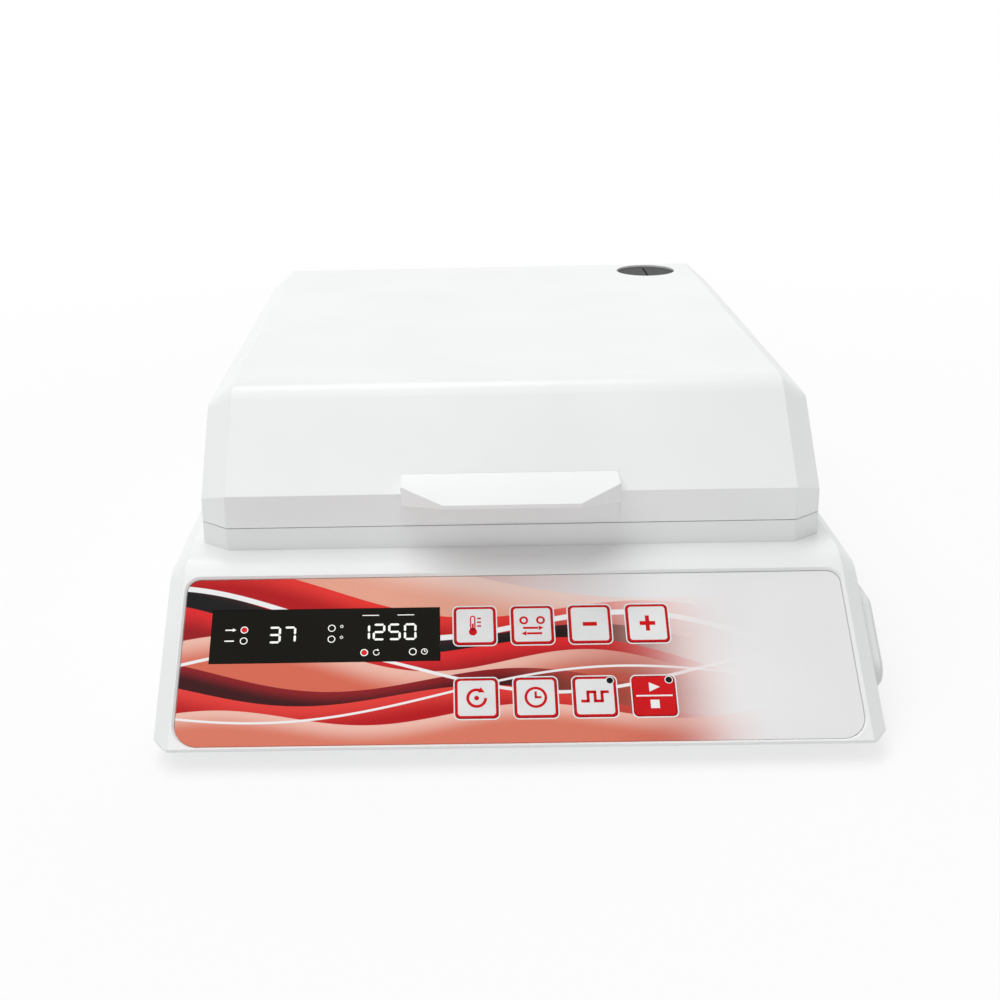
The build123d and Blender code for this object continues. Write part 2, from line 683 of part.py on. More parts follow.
with BuildPart() as inlet_pins:
    with BuildSketch(upright(INLET_X, REAR_Y - SOCKET_DEPTH + PIN_LENGTH)):
        with Locations((-PIN_SPACING, SOCKET_Z - PIN_STEP), (PIN_SPACING, SOCKET_Z - PIN_STEP), (0, SOCKET_Z + PIN_STEP)):
            Rectangle(PIN_SIZE[0], PIN_SIZE[1])
    extrude(amount=PIN_LENGTH)
    chamfer(faces().group_by(Axis.Y)[-1].edges(), LEAST_ROUND)
save(inlet_pins, "inlet_pins")

with BuildPart() as fuse_drawer:
    with BuildSketch(upright(INLET_X, REAR_Y - LEAST_ROUND)):
        with Locations((0, DRAWER_Z)):
            Rectangle(DRAWER_SIZE[0], DRAWER_SIZE[1])
    extrude(amount=DRAWER_DEPTH - 2 * LEAST_ROUND)
    # Cradle for the two fuses and a finger groove in the front
    with BuildSketch(upright(INLET_X, REAR_Y - 2 * WALL)):
        with Locations((-DRAWER_SIZE[0] / 4, DRAWER_Z + REAR_SHEET), (DRAWER_SIZE[0] / 4, DRAWER_Z + REAR_SHEET)):
            Rectangle(DRAWER_SIZE[0] / 2 - 2 * REAR_SHEET, DRAWER_SIZE[1])
    extrude(amount=DRAWER_DEPTH - 3 * WALL, mode=Mode.SUBTRACT)
    with BuildSketch(upright(INLET_X, REAR_Y)):
        with Locations((0, DRAWER_Z - REAR_SHEET)):
            SlotOverall(DRAWER_SIZE[0] / 3, REAR_SHEET)
    extrude(amount=REAR_SHEET + LEAST_ROUND, mode=Mode.SUBTRACT)
save(fuse_drawer, "fuse_drawer")

with BuildPart() as power_switch_frame:
    with BuildSketch(upright(ROCKER_X, REAR_Y - LEAST_ROUND)):
        with Locations((0, REAR_MIDDLE_Z)):
            RectangleRounded(SWITCH_BODY_SIZE[0] + SWITCH_BEZEL, SWITCH_BODY_SIZE[1] + SWITCH_BEZEL, REAR_SHEET)
    extrude(amount=WALL - LEAST_ROUND)
    with BuildSketch(upright(ROCKER_X, REAR_PANEL_Y)):
        with Locations((0, REAR_MIDDLE_Z)):
            Rectangle(SWITCH_BODY_SIZE[0], SWITCH_BODY_SIZE[1])
    extrude(amount=SWITCH_DEPTH)
    with BuildSketch(upright(ROCKER_X, REAR_Y)):
        with Locations((0, REAR_MIDDLE_Z)):
            Rectangle(ROCKER_SIZE[0] + 2 * ROCKER_CLEAR, ROCKER_SIZE[1] + 4 * ROCKER_CLEAR)
    extrude(amount=ROCKER_POCKET, mode=Mode.SUBTRACT)
    with BuildSketch(Plane.YZ.offset(ROCKER_X - ROCKER_SIZE[0])):
        with Locations((ROCKER_Y, REAR_MIDDLE_Z)):
            Circle(ROCKER_PIVOT_RADIUS + FIT)
    extrude(amount=2 * ROCKER_SIZE[0], mode=Mode.SUBTRACT)
save(power_switch_frame, "power_switch_frame")

with BuildPart() as power_rocker:
    with BuildSketch(Plane.YZ.offset(ROCKER_X - ROCKER_SIZE[0] / 2)):
        with Locations(Location((ROCKER_Y, REAR_MIDDLE_Z), ROCKER_TILT)):
            Polygon(
                (ROCKER_DEPTH, 0),
                (ROCKER_DEPTH - ROCKER_CREST, ROCKER_SIZE[1] / 2),
                (-ROCKER_DEPTH, ROCKER_SIZE[1] / 2 - REAR_SHEET),
                (-ROCKER_DEPTH, REAR_SHEET - ROCKER_SIZE[1] / 2),
                (ROCKER_DEPTH - ROCKER_CREST, -ROCKER_SIZE[1] / 2),
                align=None,
            )
    extrude(amount=ROCKER_SIZE[0])
    # Pivot pin that snaps into the frame's side walls
    with BuildSketch(Plane.YZ.offset(ROCKER_X - ROCKER_SIZE[0] / 2 - ROCKER_PIVOT_END)):
        with Locations((ROCKER_Y, REAR_MIDDLE_Z)):
            Circle(ROCKER_PIVOT_RADIUS)
    extrude(amount=ROCKER_SIZE[0] + 2 * ROCKER_PIVOT_END)
save(power_rocker, "power_rocker")

with BuildPart() as cooling_fan_frame:
    with BuildSketch(upright(FAN_X, REAR_PANEL_Y - REAR_SHEET)):
        with Locations((0, REAR_MIDDLE_Z)):
            RectangleRounded(FAN_SIZE, FAN_SIZE, WALL)
            Circle(FAN_DUCT_RADIUS, mode=Mode.SUBTRACT)
        with Locations(grid(FAN_HOLES, FAN_HOLES, 0, REAR_MIDDLE_Z)):
            Circle(SCREW_RADIUS, mode=Mode.SUBTRACT)
    extrude(amount=FAN_DEPTH)
    # Motor cup and the four arms that hold it, on the fan's inner side
    with BuildSketch(upright(FAN_X, REAR_PANEL_Y - REAR_SHEET - FAN_DEPTH + FAN_ARM)):
        with Locations((0, REAR_MIDDLE_Z)):
            Circle(FAN_HUB_RADIUS)
            with PolarLocations((FAN_DUCT_RADIUS + FAN_HUB_RADIUS) / 2, 4, start_angle=45):
                Rectangle(FAN_DUCT_RADIUS - FAN_HUB_RADIUS + 2 * LEAST_ROUND, 2 * REAR_SHEET)
    extrude(amount=FAN_ARM)
    with BuildSketch(upright(FAN_X, REAR_PANEL_Y - REAR_SHEET - FAN_DEPTH / 2)):
        with Locations((0, REAR_MIDDLE_Z)):
            Circle(SCREW_RADIUS)
    extrude(amount=FAN_DEPTH / 2 - FAN_ARM)
save(cooling_fan_frame, "cooling_fan_frame")

with BuildPart() as cooling_fan_rotor:
    with BuildSketch(upright(FAN_X, REAR_PANEL_Y - REAR_SHEET - FAN_GAP)):
        with Locations((0, REAR_MIDDLE_Z)):
            Circle(FAN_HUB_RADIUS)
    extrude(amount=FAN_DEPTH - FAN_ARM - 2 * FAN_GAP)
    with BuildSketch(upright(FAN_X, REAR_PANEL_Y - REAR_SHEET - FAN_GAP - REAR_SHEET)):
        with Locations((0, REAR_MIDDLE_Z)):
            Circle(SCREW_RADIUS + FIT)
    extrude(amount=FAN_DEPTH, mode=Mode.SUBTRACT)
    # Blades, each a slanted slat from the hub to just short of the duct
    for blade in range(FAN_BLADES):
        turn = Rotation(0, 0, 360 * blade / FAN_BLADES)
        middle = upright(FAN_X, REAR_PANEL_Y - REAR_SHEET - (FAN_DEPTH - FAN_ARM) / 2)
        hub = middle * Location((0, REAR_MIDDLE_Z)) * turn
        slat = Plane(hub * Location((FAN_HUB_RADIUS - LEAST_ROUND, 0, 0), (0, 1, 0), 90))
        with BuildSketch(slat):
            Rectangle(FAN_BLADE_SHEET, FAN_BLADE_CHORD, rotation=FAN_BLADE_PITCH)
        extrude(amount=FAN_DUCT_RADIUS - FAN_HUB_RADIUS + LEAST_ROUND - FAN_GAP)
save(cooling_fan_rotor, "cooling_fan_rotor")

# Controls on the slope

with BuildPart() as control_overlay:
    with BuildSketch(panel(RECESS_DEPTH)):
        add(panel_outline(RECESS_BEVEL + OVERLAY_CLEAR))
        with Locations((WINDOW_X, WINDOW_UP)):
            Rectangle(WINDOW_WIDTH, WINDOW_HEIGHT, mode=Mode.SUBTRACT)
        with Locations(key_places()):
            key_opening = KEY_SIZE + 2 * KEY_CLEAR
            RectangleRounded(key_opening, key_opening, KEY_ROUND, mode=Mode.SUBTRACT)
    extrude(amount=OVERLAY_SHEET)
save(control_overlay, "control_overlay")

with BuildPart() as display_window:
    with BuildSketch(panel(RECESS_DEPTH)):
        with Locations((WINDOW_X, WINDOW_UP)):
            Rectangle(WINDOW_WIDTH - 2 * FIT, WINDOW_HEIGHT - 2 * FIT)
    extrude(amount=OVERLAY_SHEET)
    chamfer(faces().sort_by(Axis(PANEL_ORIGIN, PANEL_NORMAL))[-1].edges(), OVERLAY_SHEET / 4)
save(display_window, "display_window")

with BuildPart() as display_module:
    with BuildSketch(panel(BOARD_DEPTH)):
        with Locations((WINDOW_X, WINDOW_UP)):
            Rectangle(WINDOW_WIDTH - 2 * WINDOW_LEDGE - 2 * PAN_CLEAR, WINDOW_HEIGHT - 2 * WINDOW_LEDGE - 2 * PAN_CLEAR)
    extrude(amount=BOARD_DEPTH - RECESS_DEPTH - PAN_CLEAR)
save(display_module, "display_module")

with BuildPart() as control_board:
    with BuildSketch(panel(BOARD_DEPTH + BOARD_SHEET)):
        with Locations((0, BOARD_START + BOARD_HEIGHT / 2)):
            Rectangle(BOARD_WIDTH, BOARD_HEIGHT)
        with Locations(BOARD_BOSSES):
            Circle(POST_BORE + DRAWER_CLEAR, mode=Mode.SUBTRACT)
    extrude(amount=BOARD_SHEET)
    # Processor, drivers and connectors on the back of the board
    with BuildSketch(panel(BOARD_DEPTH + BOARD_SHEET)):
        with Locations((KEY_PITCH, WINDOW_UP)):
            Rectangle(SWITCH_SIZE * 2, SWITCH_SIZE * 2)
        with Locations((-KEY_PITCH, WINDOW_UP), (3 * KEY_PITCH, WINDOW_UP)):
            Rectangle(SWITCH_SIZE * 2, SWITCH_SIZE)
        with Locations((WINDOW_X, WINDOW_UP), (-WINDOW_X, WINDOW_UP)):
            Rectangle(SWITCH_SIZE * 4, SWITCH_SIZE)
    extrude(amount=-CHIP_HEIGHT)
save(control_board, "control_board")

with BuildPart() as key_switches:
    with BuildSketch(panel(BOARD_DEPTH)):
        with Locations(key_places()):
            Rectangle(SWITCH_SIZE, SWITCH_SIZE)
    extrude(amount=SWITCH_BODY)
    with BuildSketch(panel(BOARD_DEPTH - SWITCH_BODY)):
        with Locations(key_places()):
            Circle(SWITCH_SIZE / 4)
    extrude(amount=BOARD_DEPTH - SWITCH_BODY - KEY_BACK - KEY_TRAVEL - SWITCH_GAP)
save(key_switches, "key_switches")

for row, names in enumerate(KEY_NAMES):
    for column, name in enumerate(names):
        with BuildPart() as key:
            with BuildSketch(panel(KEY_BACK)):
                with Locations((KEY_FIRST_X + KEY_PITCH * column, KEY_ROWS[row])):
                    RectangleRounded(KEY_SIZE, KEY_SIZE, KEY_ROUND)
            extrude(amount=KEY_THICKNESS)
            chamfer(faces().sort_by(Axis(PANEL_ORIGIN, PANEL_NORMAL))[-1].edges(), KEY_PROUD)
        save(key, f"key_{name}")

# Chamber

with BuildPart() as chamber_pan:
    add(pan_form(PAN_SHEET))
    with BuildSketch(level(PARTING_Z - PAN_SHEET)):
        add(pan_outline(PAN_FLANGE))
    extrude(amount=PAN_SHEET)
    add(pan_form(0), mode=Mode.SUBTRACT)
    split(bisect_by=level(PARTING_Z), keep=Keep.BOTTOM)
    # Raised lips round the shafts keep a spill out of the drive
    with BuildSketch(level(PAN_FLOOR_Z - PAN_SHEET)):
        add(shaft_holes(PAN_SHEET))
    extrude(amount=PAN_SHEET + LIP_HEIGHT)
    with BuildSketch(level(PAN_FLOOR_Z - PAN_SHEET)):
        add(shaft_holes(0))
    extrude(amount=PAN_SHEET + LIP_HEIGHT, mode=Mode.SUBTRACT)
save(chamber_pan, "chamber_pan")

with BuildPart() as lid_seal:
    with BuildSketch(level(PARTING_Z)):
        add(pan_outline((PAN_FLANGE + SEAL_WIDTH) / 2))
        add(pan_outline((PAN_FLANGE - SEAL_WIDTH) / 2), mode=Mode.SUBTRACT)
    extrude(amount=FLANGE_Z - PARTING_Z - SEAL_CLEAR)
save(lid_seal, "lid_seal")

with BuildPart() as heater_foil:
    with BuildSketch(level(PAN_FLOOR_Z - PAN_SHEET - HEATER_SHEET)):
        add(pan_outline(-HEATER_MARGIN))
        add(shaft_holes(HEATER_SHEET), mode=Mode.SUBTRACT)
    extrude(amount=HEATER_SHEET)
save(heater_foil, "heater_foil")

with BuildPart() as chamber_insulation:
    with BuildSketch(level(CHASSIS_TOP_Z)):
        add(pan_outline(-HEATER_MARGIN / 2))
        add(shaft_holes(HEATER_SHEET), mode=Mode.SUBTRACT)
    extrude(amount=PAN_FLOOR_Z - PAN_SHEET - HEATER_SHEET - CHASSIS_TOP_Z)
save(chamber_insulation, "chamber_insulation")

with BuildPart() as temperature_sensor:
    with BuildSketch(upright(SENSOR_X, CHAMBER_Y + SENSOR_LENGTH / 2)):
        with Locations((0, SENSOR_Z)):
            Circle(SENSOR_RADIUS)
    extrude(amount=SENSOR_LENGTH)
    fillet(edges().group_by(Axis.Y)[0], SENSOR_RADIUS - LEAST_ROUND)
    # Clip that holds the probe off the pan's left wall
    with BuildSketch(upright(SENSOR_X, CHAMBER_Y + SENSOR_LENGTH / 2 - SENSOR_RADIUS)):
        with Locations((-SENSOR_RADIUS, SENSOR_Z)):
            Rectangle(2 * SENSOR_RADIUS, 3 * SENSOR_RADIUS)
    extrude(amount=3 * SENSOR_RADIUS)
save(temperature_sensor, "temperature_sensor")

# Shaking drive

with BuildPart() as chassis_plate:
    with BuildSketch(level(CHASSIS_TOP_Z - CHASSIS_SHEET)):
        with Locations((0, CHAMBER_Y)):
            RectangleRounded(CHASSIS_WIDTH, CHASSIS_LENGTH, 2 * PILLAR_RADIUS)
        with Locations((0, CHAMBER_Y)):
            Circle(SPINDLE_COLLAR_RADIUS + SHAFT_CLEAR / 2, mode=Mode.SUBTRACT)
    extrude(amount=CHASSIS_SHEET)
    # Bearing cups for the idler cranks, each with a floor lip under its bearing
    with BuildSketch(level(CHASSIS_TOP_Z - IDLER_BEARING_WIDTH - CUP_LIP)):
        with Locations(IDLER_PLACES):
            Circle(IDLER_BEARING_RADIUS + HOUSING_WALL / 2)
    extrude(amount=IDLER_BEARING_WIDTH)
    with BuildSketch(level(CHASSIS_TOP_Z - IDLER_BEARING_WIDTH)):
        with Locations(IDLER_PLACES):
            Circle(IDLER_BEARING_RADIUS)
    extrude(amount=IDLER_BEARING_WIDTH, mode=Mode.SUBTRACT)
    with BuildSketch(level(CHASSIS_TOP_Z - IDLER_BEARING_WIDTH - CUP_LIP)):
        with Locations(IDLER_PLACES):
            Circle(IDLER_RADIUS + SHAFT_CLEAR)
        with Locations(PILLAR_PLACES):
            Circle(SCREW_RADIUS)
    extrude(amount=IDLER_BEARING_WIDTH + CUP_LIP, mode=Mode.SUBTRACT)
save(chassis_plate, "chassis_plate")

with BuildPart() as chassis_pillars:
    with BuildSketch(level(PLATE_TOP_Z)):
        with Locations(PILLAR_PLACES):
            Circle(PILLAR_RADIUS)
            Circle(SCREW_RADIUS, mode=Mode.SUBTRACT)
    extrude(amount=CHASSIS_TOP_Z - CHASSIS_SHEET - PLATE_TOP_Z)
save(chassis_pillars, "chassis_pillars")

with BuildPart() as bearing_housing:
    with BuildSketch(level(HOUSING_TOP_Z - HOUSING_WALL)):
        with Locations((0, CHAMBER_Y)):
            Circle(HOUSING_FLANGE_RADIUS)
            with PolarLocations(HOUSING_FLANGE_RADIUS - HOUSING_WALL, 4, start_angle=45):
                Circle(SCREW_RADIUS, mode=Mode.SUBTRACT)
    extrude(amount=HOUSING_WALL)
    with BuildSketch(level(HOUSING_TOP_Z - HOUSING_HEIGHT)):
        with Locations((0, CHAMBER_Y)):
            Circle(SPINDLE_BEARING_RADIUS + HOUSING_WALL)
    extrude(amount=HOUSING_HEIGHT)
    # Ribs between the barrel and its flange
    with BuildSketch(level(HOUSING_TOP_Z - HOUSING_HEIGHT / 2 - HOUSING_WALL / 2)):
        with Locations((0, CHAMBER_Y)):
            with PolarLocations((SPINDLE_BEARING_RADIUS + HOUSING_FLANGE_RADIUS) / 2, 4):
                Rectangle(HOUSING_FLANGE_RADIUS - SPINDLE_BEARING_RADIUS - HOUSING_WALL, REAR_SHEET * 2)
    extrude(amount=HOUSING_HEIGHT / 2 - HOUSING_WALL / 2)
    with BuildSketch(level(HOUSING_TOP_Z - HOUSING_HEIGHT)):
        with Locations((0, CHAMBER_Y)):
            Circle(SPINDLE_BEARING_RADIUS)
    extrude(amount=HOUSING_HEIGHT, mode=Mode.SUBTRACT)
save(bearing_housing, "bearing_housing")

with BuildPart() as chassis_bearings:
    for bearing_z in (HOUSING_TOP_Z - SPINDLE_BEARING_WIDTH, HOUSING_TOP_Z - HOUSING_HEIGHT):
        with BuildSketch(level(bearing_z)):
            with Locations((0, CHAMBER_Y)):
                Circle(SPINDLE_BEARING_RADIUS - FIT)
                Circle(SPINDLE_RADIUS + FIT, mode=Mode.SUBTRACT)
        extrude(amount=SPINDLE_BEARING_WIDTH)
    with BuildSketch(level(CHASSIS_TOP_Z - IDLER_BEARING_WIDTH)):
        with Locations(IDLER_PLACES):
            Circle(IDLER_BEARING_RADIUS - FIT)
            Circle(IDLER_RADIUS + FIT, mode=Mode.SUBTRACT)
    extrude(amount=IDLER_BEARING_WIDTH)
save(chassis_bearings, "chassis_bearings")

# The spindle and the cranks carry the platform on shoulders thrown ORBIT_RADIUS to the right
with BuildPart() as spindle:
    with BuildSketch(level(PULLEY_Z)):
        with Locations((0, CHAMBER_Y)):
            Circle(SPINDLE_RADIUS)
    extrude(amount=COLLAR_TOP_Z - PULLEY_Z)
    with BuildSketch(level(HOUSING_TOP_Z + PAN_CLEAR)):
        with Locations((0, CHAMBER_Y)):
            Circle(SPINDLE_COLLAR_RADIUS)
    extrude(amount=COLLAR_TOP_Z - HOUSING_TOP_Z - PAN_CLEAR)
    with BuildSketch(level(COLLAR_TOP_Z)):
        with Locations((ORBIT_RADIUS, CHAMBER_Y)):
            Circle(SPINDLE_SHOULDER_RADIUS)
    extrude(amount=PLATFORM_Z - COLLAR_TOP_Z)
    with BuildSketch(level(PLATFORM_Z)):
        with Locations((ORBIT_RADIUS, CHAMBER_Y)):
            Circle(SPINDLE_PIN_RADIUS)
    extrude(amount=IDLER_BEARING_WIDTH)
save(spindle, "spindle")

for place, name in zip(IDLER_PLACES, IDLER_NAMES):
    with BuildPart() as idler_crank:
        with BuildSketch(level(CHASSIS_TOP_Z - IDLER_BEARING_WIDTH)):
            with Locations(place):
                Circle(IDLER_RADIUS)
        extrude(amount=IDLER_BEARING_WIDTH + PAN_CLEAR)
        with BuildSketch(level(CHASSIS_TOP_Z + PAN_CLEAR)):
            with Locations(place):
                Circle(IDLER_COLLAR_RADIUS)
        extrude(amount=COLLAR_TOP_Z - CHASSIS_TOP_Z - PAN_CLEAR)
        with BuildSketch(level(COLLAR_TOP_Z)):
            with Locations((place[0] + ORBIT_RADIUS, place[1])):
                Circle(IDLER_SHOULDER_RADIUS)
        extrude(amount=PLATFORM_Z - COLLAR_TOP_Z)
        with BuildSketch(level(PLATFORM_Z)):
            with Locations((place[0] + ORBIT_RADIUS, place[1])):
                Circle(IDLER_RADIUS)
        extrude(amount=IDLER_BEARING_WIDTH)
    save(idler_crank, f"idler_crank_{name}")

with BuildPart() as spindle_pulley:
    with BuildSketch(level(PULLEY_Z)):
        with Locations((0, CHAMBER_Y)):
            Circle(SPINDLE_PITCH_RADIUS + PULLEY_RIM)
    extrude(amount=PULLEY_HEIGHT)
    # Dish between rim and hub, which holds the counterweight
    with BuildSketch(level(PULLEY_Z + PULLEY_WEB)):
        with Locations((0, CHAMBER_Y)):
            Circle(PULLEY_DISH_RADIUS)
            Circle(PULLEY_HUB_RADIUS, mode=Mode.SUBTRACT)
    extrude(amount=PULLEY_HEIGHT, mode=Mode.SUBTRACT)
    with BuildSketch(level(PULLEY_Z)):
        with Locations((0, CHAMBER_Y)):
            Circle(SPINDLE_RADIUS + FIT)
            with PolarLocations((PULLEY_DISH_RADIUS + PULLEY_HUB_RADIUS) / 2, 3):
                Circle(PULLEY_HUB_RADIUS / 2)
    extrude(amount=PULLEY_HEIGHT, mode=Mode.SUBTRACT)
    with BuildSketch(upright(0, CHAMBER_Y)):
        with Locations((SPINDLE_PITCH_RADIUS, BELT_Z)):
            Circle(BELT_THICKNESS / 2 + GROOVE_CLEAR)
        with Locations((SPINDLE_PITCH_RADIUS + PULLEY_RIM, BELT_Z)):
            Rectangle(2 * PULLEY_RIM, BELT_THICKNESS + 2 * GROOVE_CLEAR)
    revolve(axis=vertical(0, CHAMBER_Y), mode=Mode.SUBTRACT)
save(spindle_pulley, "spindle_pulley")

with BuildPart() as counterweight:
    with BuildSketch(level(PULLEY_Z + PULLEY_WEB)):
        with Locations((0, CHAMBER_Y)):
            Circle(PULLEY_DISH_RADIUS - WEIGHT_CLEAR)
            Circle(PULLEY_HUB_RADIUS + WEIGHT_CLEAR, mode=Mode.SUBTRACT)
        with Locations((PULLEY_DISH_RADIUS, CHAMBER_Y)):
            Rectangle(2 * PULLEY_DISH_RADIUS + 2 * WALL, 2 * PULLEY_DISH_RADIUS, mode=Mode.SUBTRACT)
    extrude(amount=PULLEY_HEIGHT - PULLEY_WEB)
save(counterweight, "counterweight")

with BuildPart() as motor_bracket:
    with BuildSketch(level(PLATE_TOP_Z)):
        with Locations((0, MOTOR_Y)):
            Rectangle(BRACKET_WIDTH, BRACKET_LENGTH)
    extrude(amount=BRACKET_Z + BRACKET_SHEET - PLATE_TOP_Z)
    # Open channel under the plate, for the pulley and the belt
    with BuildSketch(level(PLATE_TOP_Z)):
        with Locations((0, MOTOR_Y)):
            Rectangle(BRACKET_WIDTH - 2 * BRACKET_SHEET, BRACKET_LENGTH + CUT_OVER)
    extrude(amount=BRACKET_Z - PLATE_TOP_Z, mode=Mode.SUBTRACT)
    with BuildSketch(level(BRACKET_Z)):
        with Locations((0, MOTOR_Y)):
            Circle(MOTOR_BOSS_RADIUS + FIT)
            with PolarLocations(MOTOR_BOSS_RADIUS + 2 * WALL, 4, start_angle=45):
                Circle(SCREW_RADIUS)
    extrude(amount=BRACKET_SHEET, mode=Mode.SUBTRACT)
save(motor_bracket, "motor_bracket")

with BuildPart() as drive_motor:
    with BuildSketch(level(BRACKET_Z + BRACKET_SHEET)):
        with Locations((0, MOTOR_Y)):
            Circle(MOTOR_RADIUS)
    extrude(amount=MOTOR_HEIGHT)
    chamfer(edges().group_by(Axis.Z)[-1], MOTOR_BEVEL)
    with BuildSketch(level(BRACKET_Z)):
        with Locations((0, MOTOR_Y)):
            Circle(MOTOR_BOSS_RADIUS)
    extrude(amount=BRACKET_SHEET)
    # Cooling slots down the motor's case
    with BuildSketch(level(BRACKET_Z + 3 * BRACKET_SHEET)):
        with Locations((0, MOTOR_Y)):
            with PolarLocations(MOTOR_RADIUS, 8):
                Rectangle(2 * MOTOR_BEVEL, 4 * MOTOR_BEVEL)
    extrude(amount=MOTOR_HEIGHT - 4 * BRACKET_SHEET, mode=Mode.SUBTRACT)
    with BuildSketch(level(BRACKET_Z)):
        with Locations((0, MOTOR_Y)):
            Circle(MOTOR_SHAFT_RADIUS + FIT)
    extrude(amount=MOTOR_HEIGHT / 2, mode=Mode.SUBTRACT)
save(drive_motor, "drive_motor")

with BuildPart() as motor_pulley:
    with BuildSketch(level(PULLEY_Z)):
        with Locations((0, MOTOR_Y)):
            Circle(MOTOR_PITCH_RADIUS + PULLEY_RIM)
    extrude(amount=PULLEY_HEIGHT)
    with BuildSketch(upright(0, MOTOR_Y)):
        with Locations((MOTOR_PITCH_RADIUS, BELT_Z)):
            Circle(BELT_THICKNESS / 2 + GROOVE_CLEAR)
        with Locations((MOTOR_PITCH_RADIUS + PULLEY_RIM, BELT_Z)):
            Rectangle(2 * PULLEY_RIM, BELT_THICKNESS + 2 * GROOVE_CLEAR)
    revolve(axis=vertical(0, MOTOR_Y), mode=Mode.SUBTRACT)
    # The motor's shaft, up into its case
    with BuildSketch(level(PULLEY_Z)):
        with Locations((0, MOTOR_Y)):
            Circle(MOTOR_SHAFT_RADIUS)
    extrude(amount=BRACKET_Z + MOTOR_HEIGHT / 2 - PULLEY_Z - PAN_CLEAR)
save(motor_pulley, "motor_pulley")


def belt_outline(reach):
    """Line round both pulleys, reach outside their pitch circles."""
    with BuildSketch() as outline:
        with Locations((0, CHAMBER_Y)):
            Circle(SPINDLE_PITCH_RADIUS + reach)
        with Locations((0, MOTOR_Y)):
            Circle(MOTOR_PITCH_RADIUS + reach)
        make_hull()
    return outline.sketch


with BuildPart() as drive_belt:
    with BuildSketch(level(BELT_Z - BELT_THICKNESS / 2)):
        add(belt_outline(BELT_THICKNESS / 2))
        add(belt_outline(-BELT_THICKNESS / 2), mode=Mode.SUBTRACT)
    extrude(amount=BELT_THICKNESS)
    chamfer(edges().group_by(Axis.Z)[0] + edges().group_by(Axis.Z)[-1], BELT_THICKNESS * BELT_BEVEL)
save(drive_belt, "drive_belt")

with BuildPart() as power_supply:
    with BuildSketch(level(PLATE_TOP_Z)):
        with Locations((SUPPLY_X, SUPPLY_Y)):
            Rectangle(SUPPLY_WIDTH, SUPPLY_LENGTH)
    extrude(amount=SUPPLY_HEIGHT)
    # Folded sheet tray, open at the top, with the parts that stand on its board
    with BuildSketch(level(PLATE_TOP_Z + WALL)):
        with Locations((SUPPLY_X, SUPPLY_Y)):
            Rectangle(SUPPLY_WIDTH - 2 * REAR_SHEET, SUPPLY_LENGTH - 2 * REAR_SHEET)
    extrude(amount=SUPPLY_HEIGHT, mode=Mode.SUBTRACT)
    with BuildSketch(level(PLATE_TOP_Z + WALL)):
        with Locations((SUPPLY_X, SUPPLY_Y)):
            Rectangle(SUPPLY_WIDTH / 2, SUPPLY_LENGTH / 4)
        with Locations(grid(SUPPLY_WIDTH / 2, SUPPLY_LENGTH * 3 / 5, SUPPLY_X, SUPPLY_Y)):
            Circle(CAPACITOR_RADIUS)
    extrude(amount=SUPPLY_HEIGHT - WALL - REAR_SHEET)
save(power_supply, "power_supply")

# Platform

with BuildPart() as shaker_platform:
    with BuildSketch(level(PLATFORM_Z)):
        with Locations((ORBIT_RADIUS, CHAMBER_Y)):
            RectangleRounded(BED_WIDTH + 2 * PLATFORM_MARGIN, BED_LENGTH, 2 * RAIL)
    extrude(amount=PLATFORM_THICKNESS)
    # Pockets under the casting leave a lattice of ribs and the bearing bosses
    with BuildSketch(level(PLATFORM_Z)):
        with Locations((ORBIT_RADIUS, CHAMBER_Y)):
            with GridLocations(BED_WIDTH / 4, BED_LENGTH / 4, 4, 4):
                Rectangle(BED_WIDTH / 4 - RAIL, BED_LENGTH / 4 - RAIL)
        with Locations([(x + ORBIT_RADIUS, y) for x, y in IDLER_PLACES]):
            Circle(IDLER_BEARING_RADIUS + RAIL, mode=Mode.SUBTRACT)
        with Locations((ORBIT_RADIUS, CHAMBER_Y)):
            Circle(PIN_BEARING_RADIUS + RAIL, mode=Mode.SUBTRACT)
    extrude(amount=POCKET_DEPTH, mode=Mode.SUBTRACT)
    with BuildSketch(level(PLATFORM_Z)):
        with Locations([(x + ORBIT_RADIUS, y) for x, y in IDLER_PLACES]):
            Circle(IDLER_BEARING_RADIUS)
        with Locations((ORBIT_RADIUS, CHAMBER_Y)):
            Circle(PIN_BEARING_RADIUS)
    extrude(amount=IDLER_BEARING_WIDTH + PAN_CLEAR, mode=Mode.SUBTRACT)
save(shaker_platform, "shaker_platform")

with BuildPart() as plate_rails:
    # Bars along the platform's length, open in the middle of each bay for the fingers and the springs
    with BuildSketch(level(PLATFORM_TOP_Z)):
        with Locations((ORBIT_RADIUS, CHAMBER_Y)):
            with GridLocations(BAY_WIDTH + RAIL, 0, 3, 1):
                Rectangle(RAIL, BED_LENGTH)
            with GridLocations(0, BAY_LENGTH + RAIL, 1, 3):
                Rectangle(2 * BED_WIDTH, RAIL + 2 * RAIL_CLEAR, mode=Mode.SUBTRACT)
        with Locations([(ORBIT_RADIUS, y) for x, y in BAY_PLACES[::2]]):
            Rectangle(2 * BED_WIDTH, FINGER_NOTCH, mode=Mode.SUBTRACT)
    extrude(amount=RAIL_HEIGHT)
    # Bars across it
    with BuildSketch(level(PLATFORM_TOP_Z)):
        with Locations((ORBIT_RADIUS, CHAMBER_Y)):
            with GridLocations(0, BAY_LENGTH + RAIL, 1, 3):
                Rectangle(BED_WIDTH, RAIL)
        with Locations([(x, CHAMBER_Y) for x, y in BAY_PLACES[:2]]):
            Rectangle(FINGER_NOTCH, 2 * BED_LENGTH, mode=Mode.SUBTRACT)
    extrude(amount=RAIL_HEIGHT)
save(plate_rails, "plate_rails")

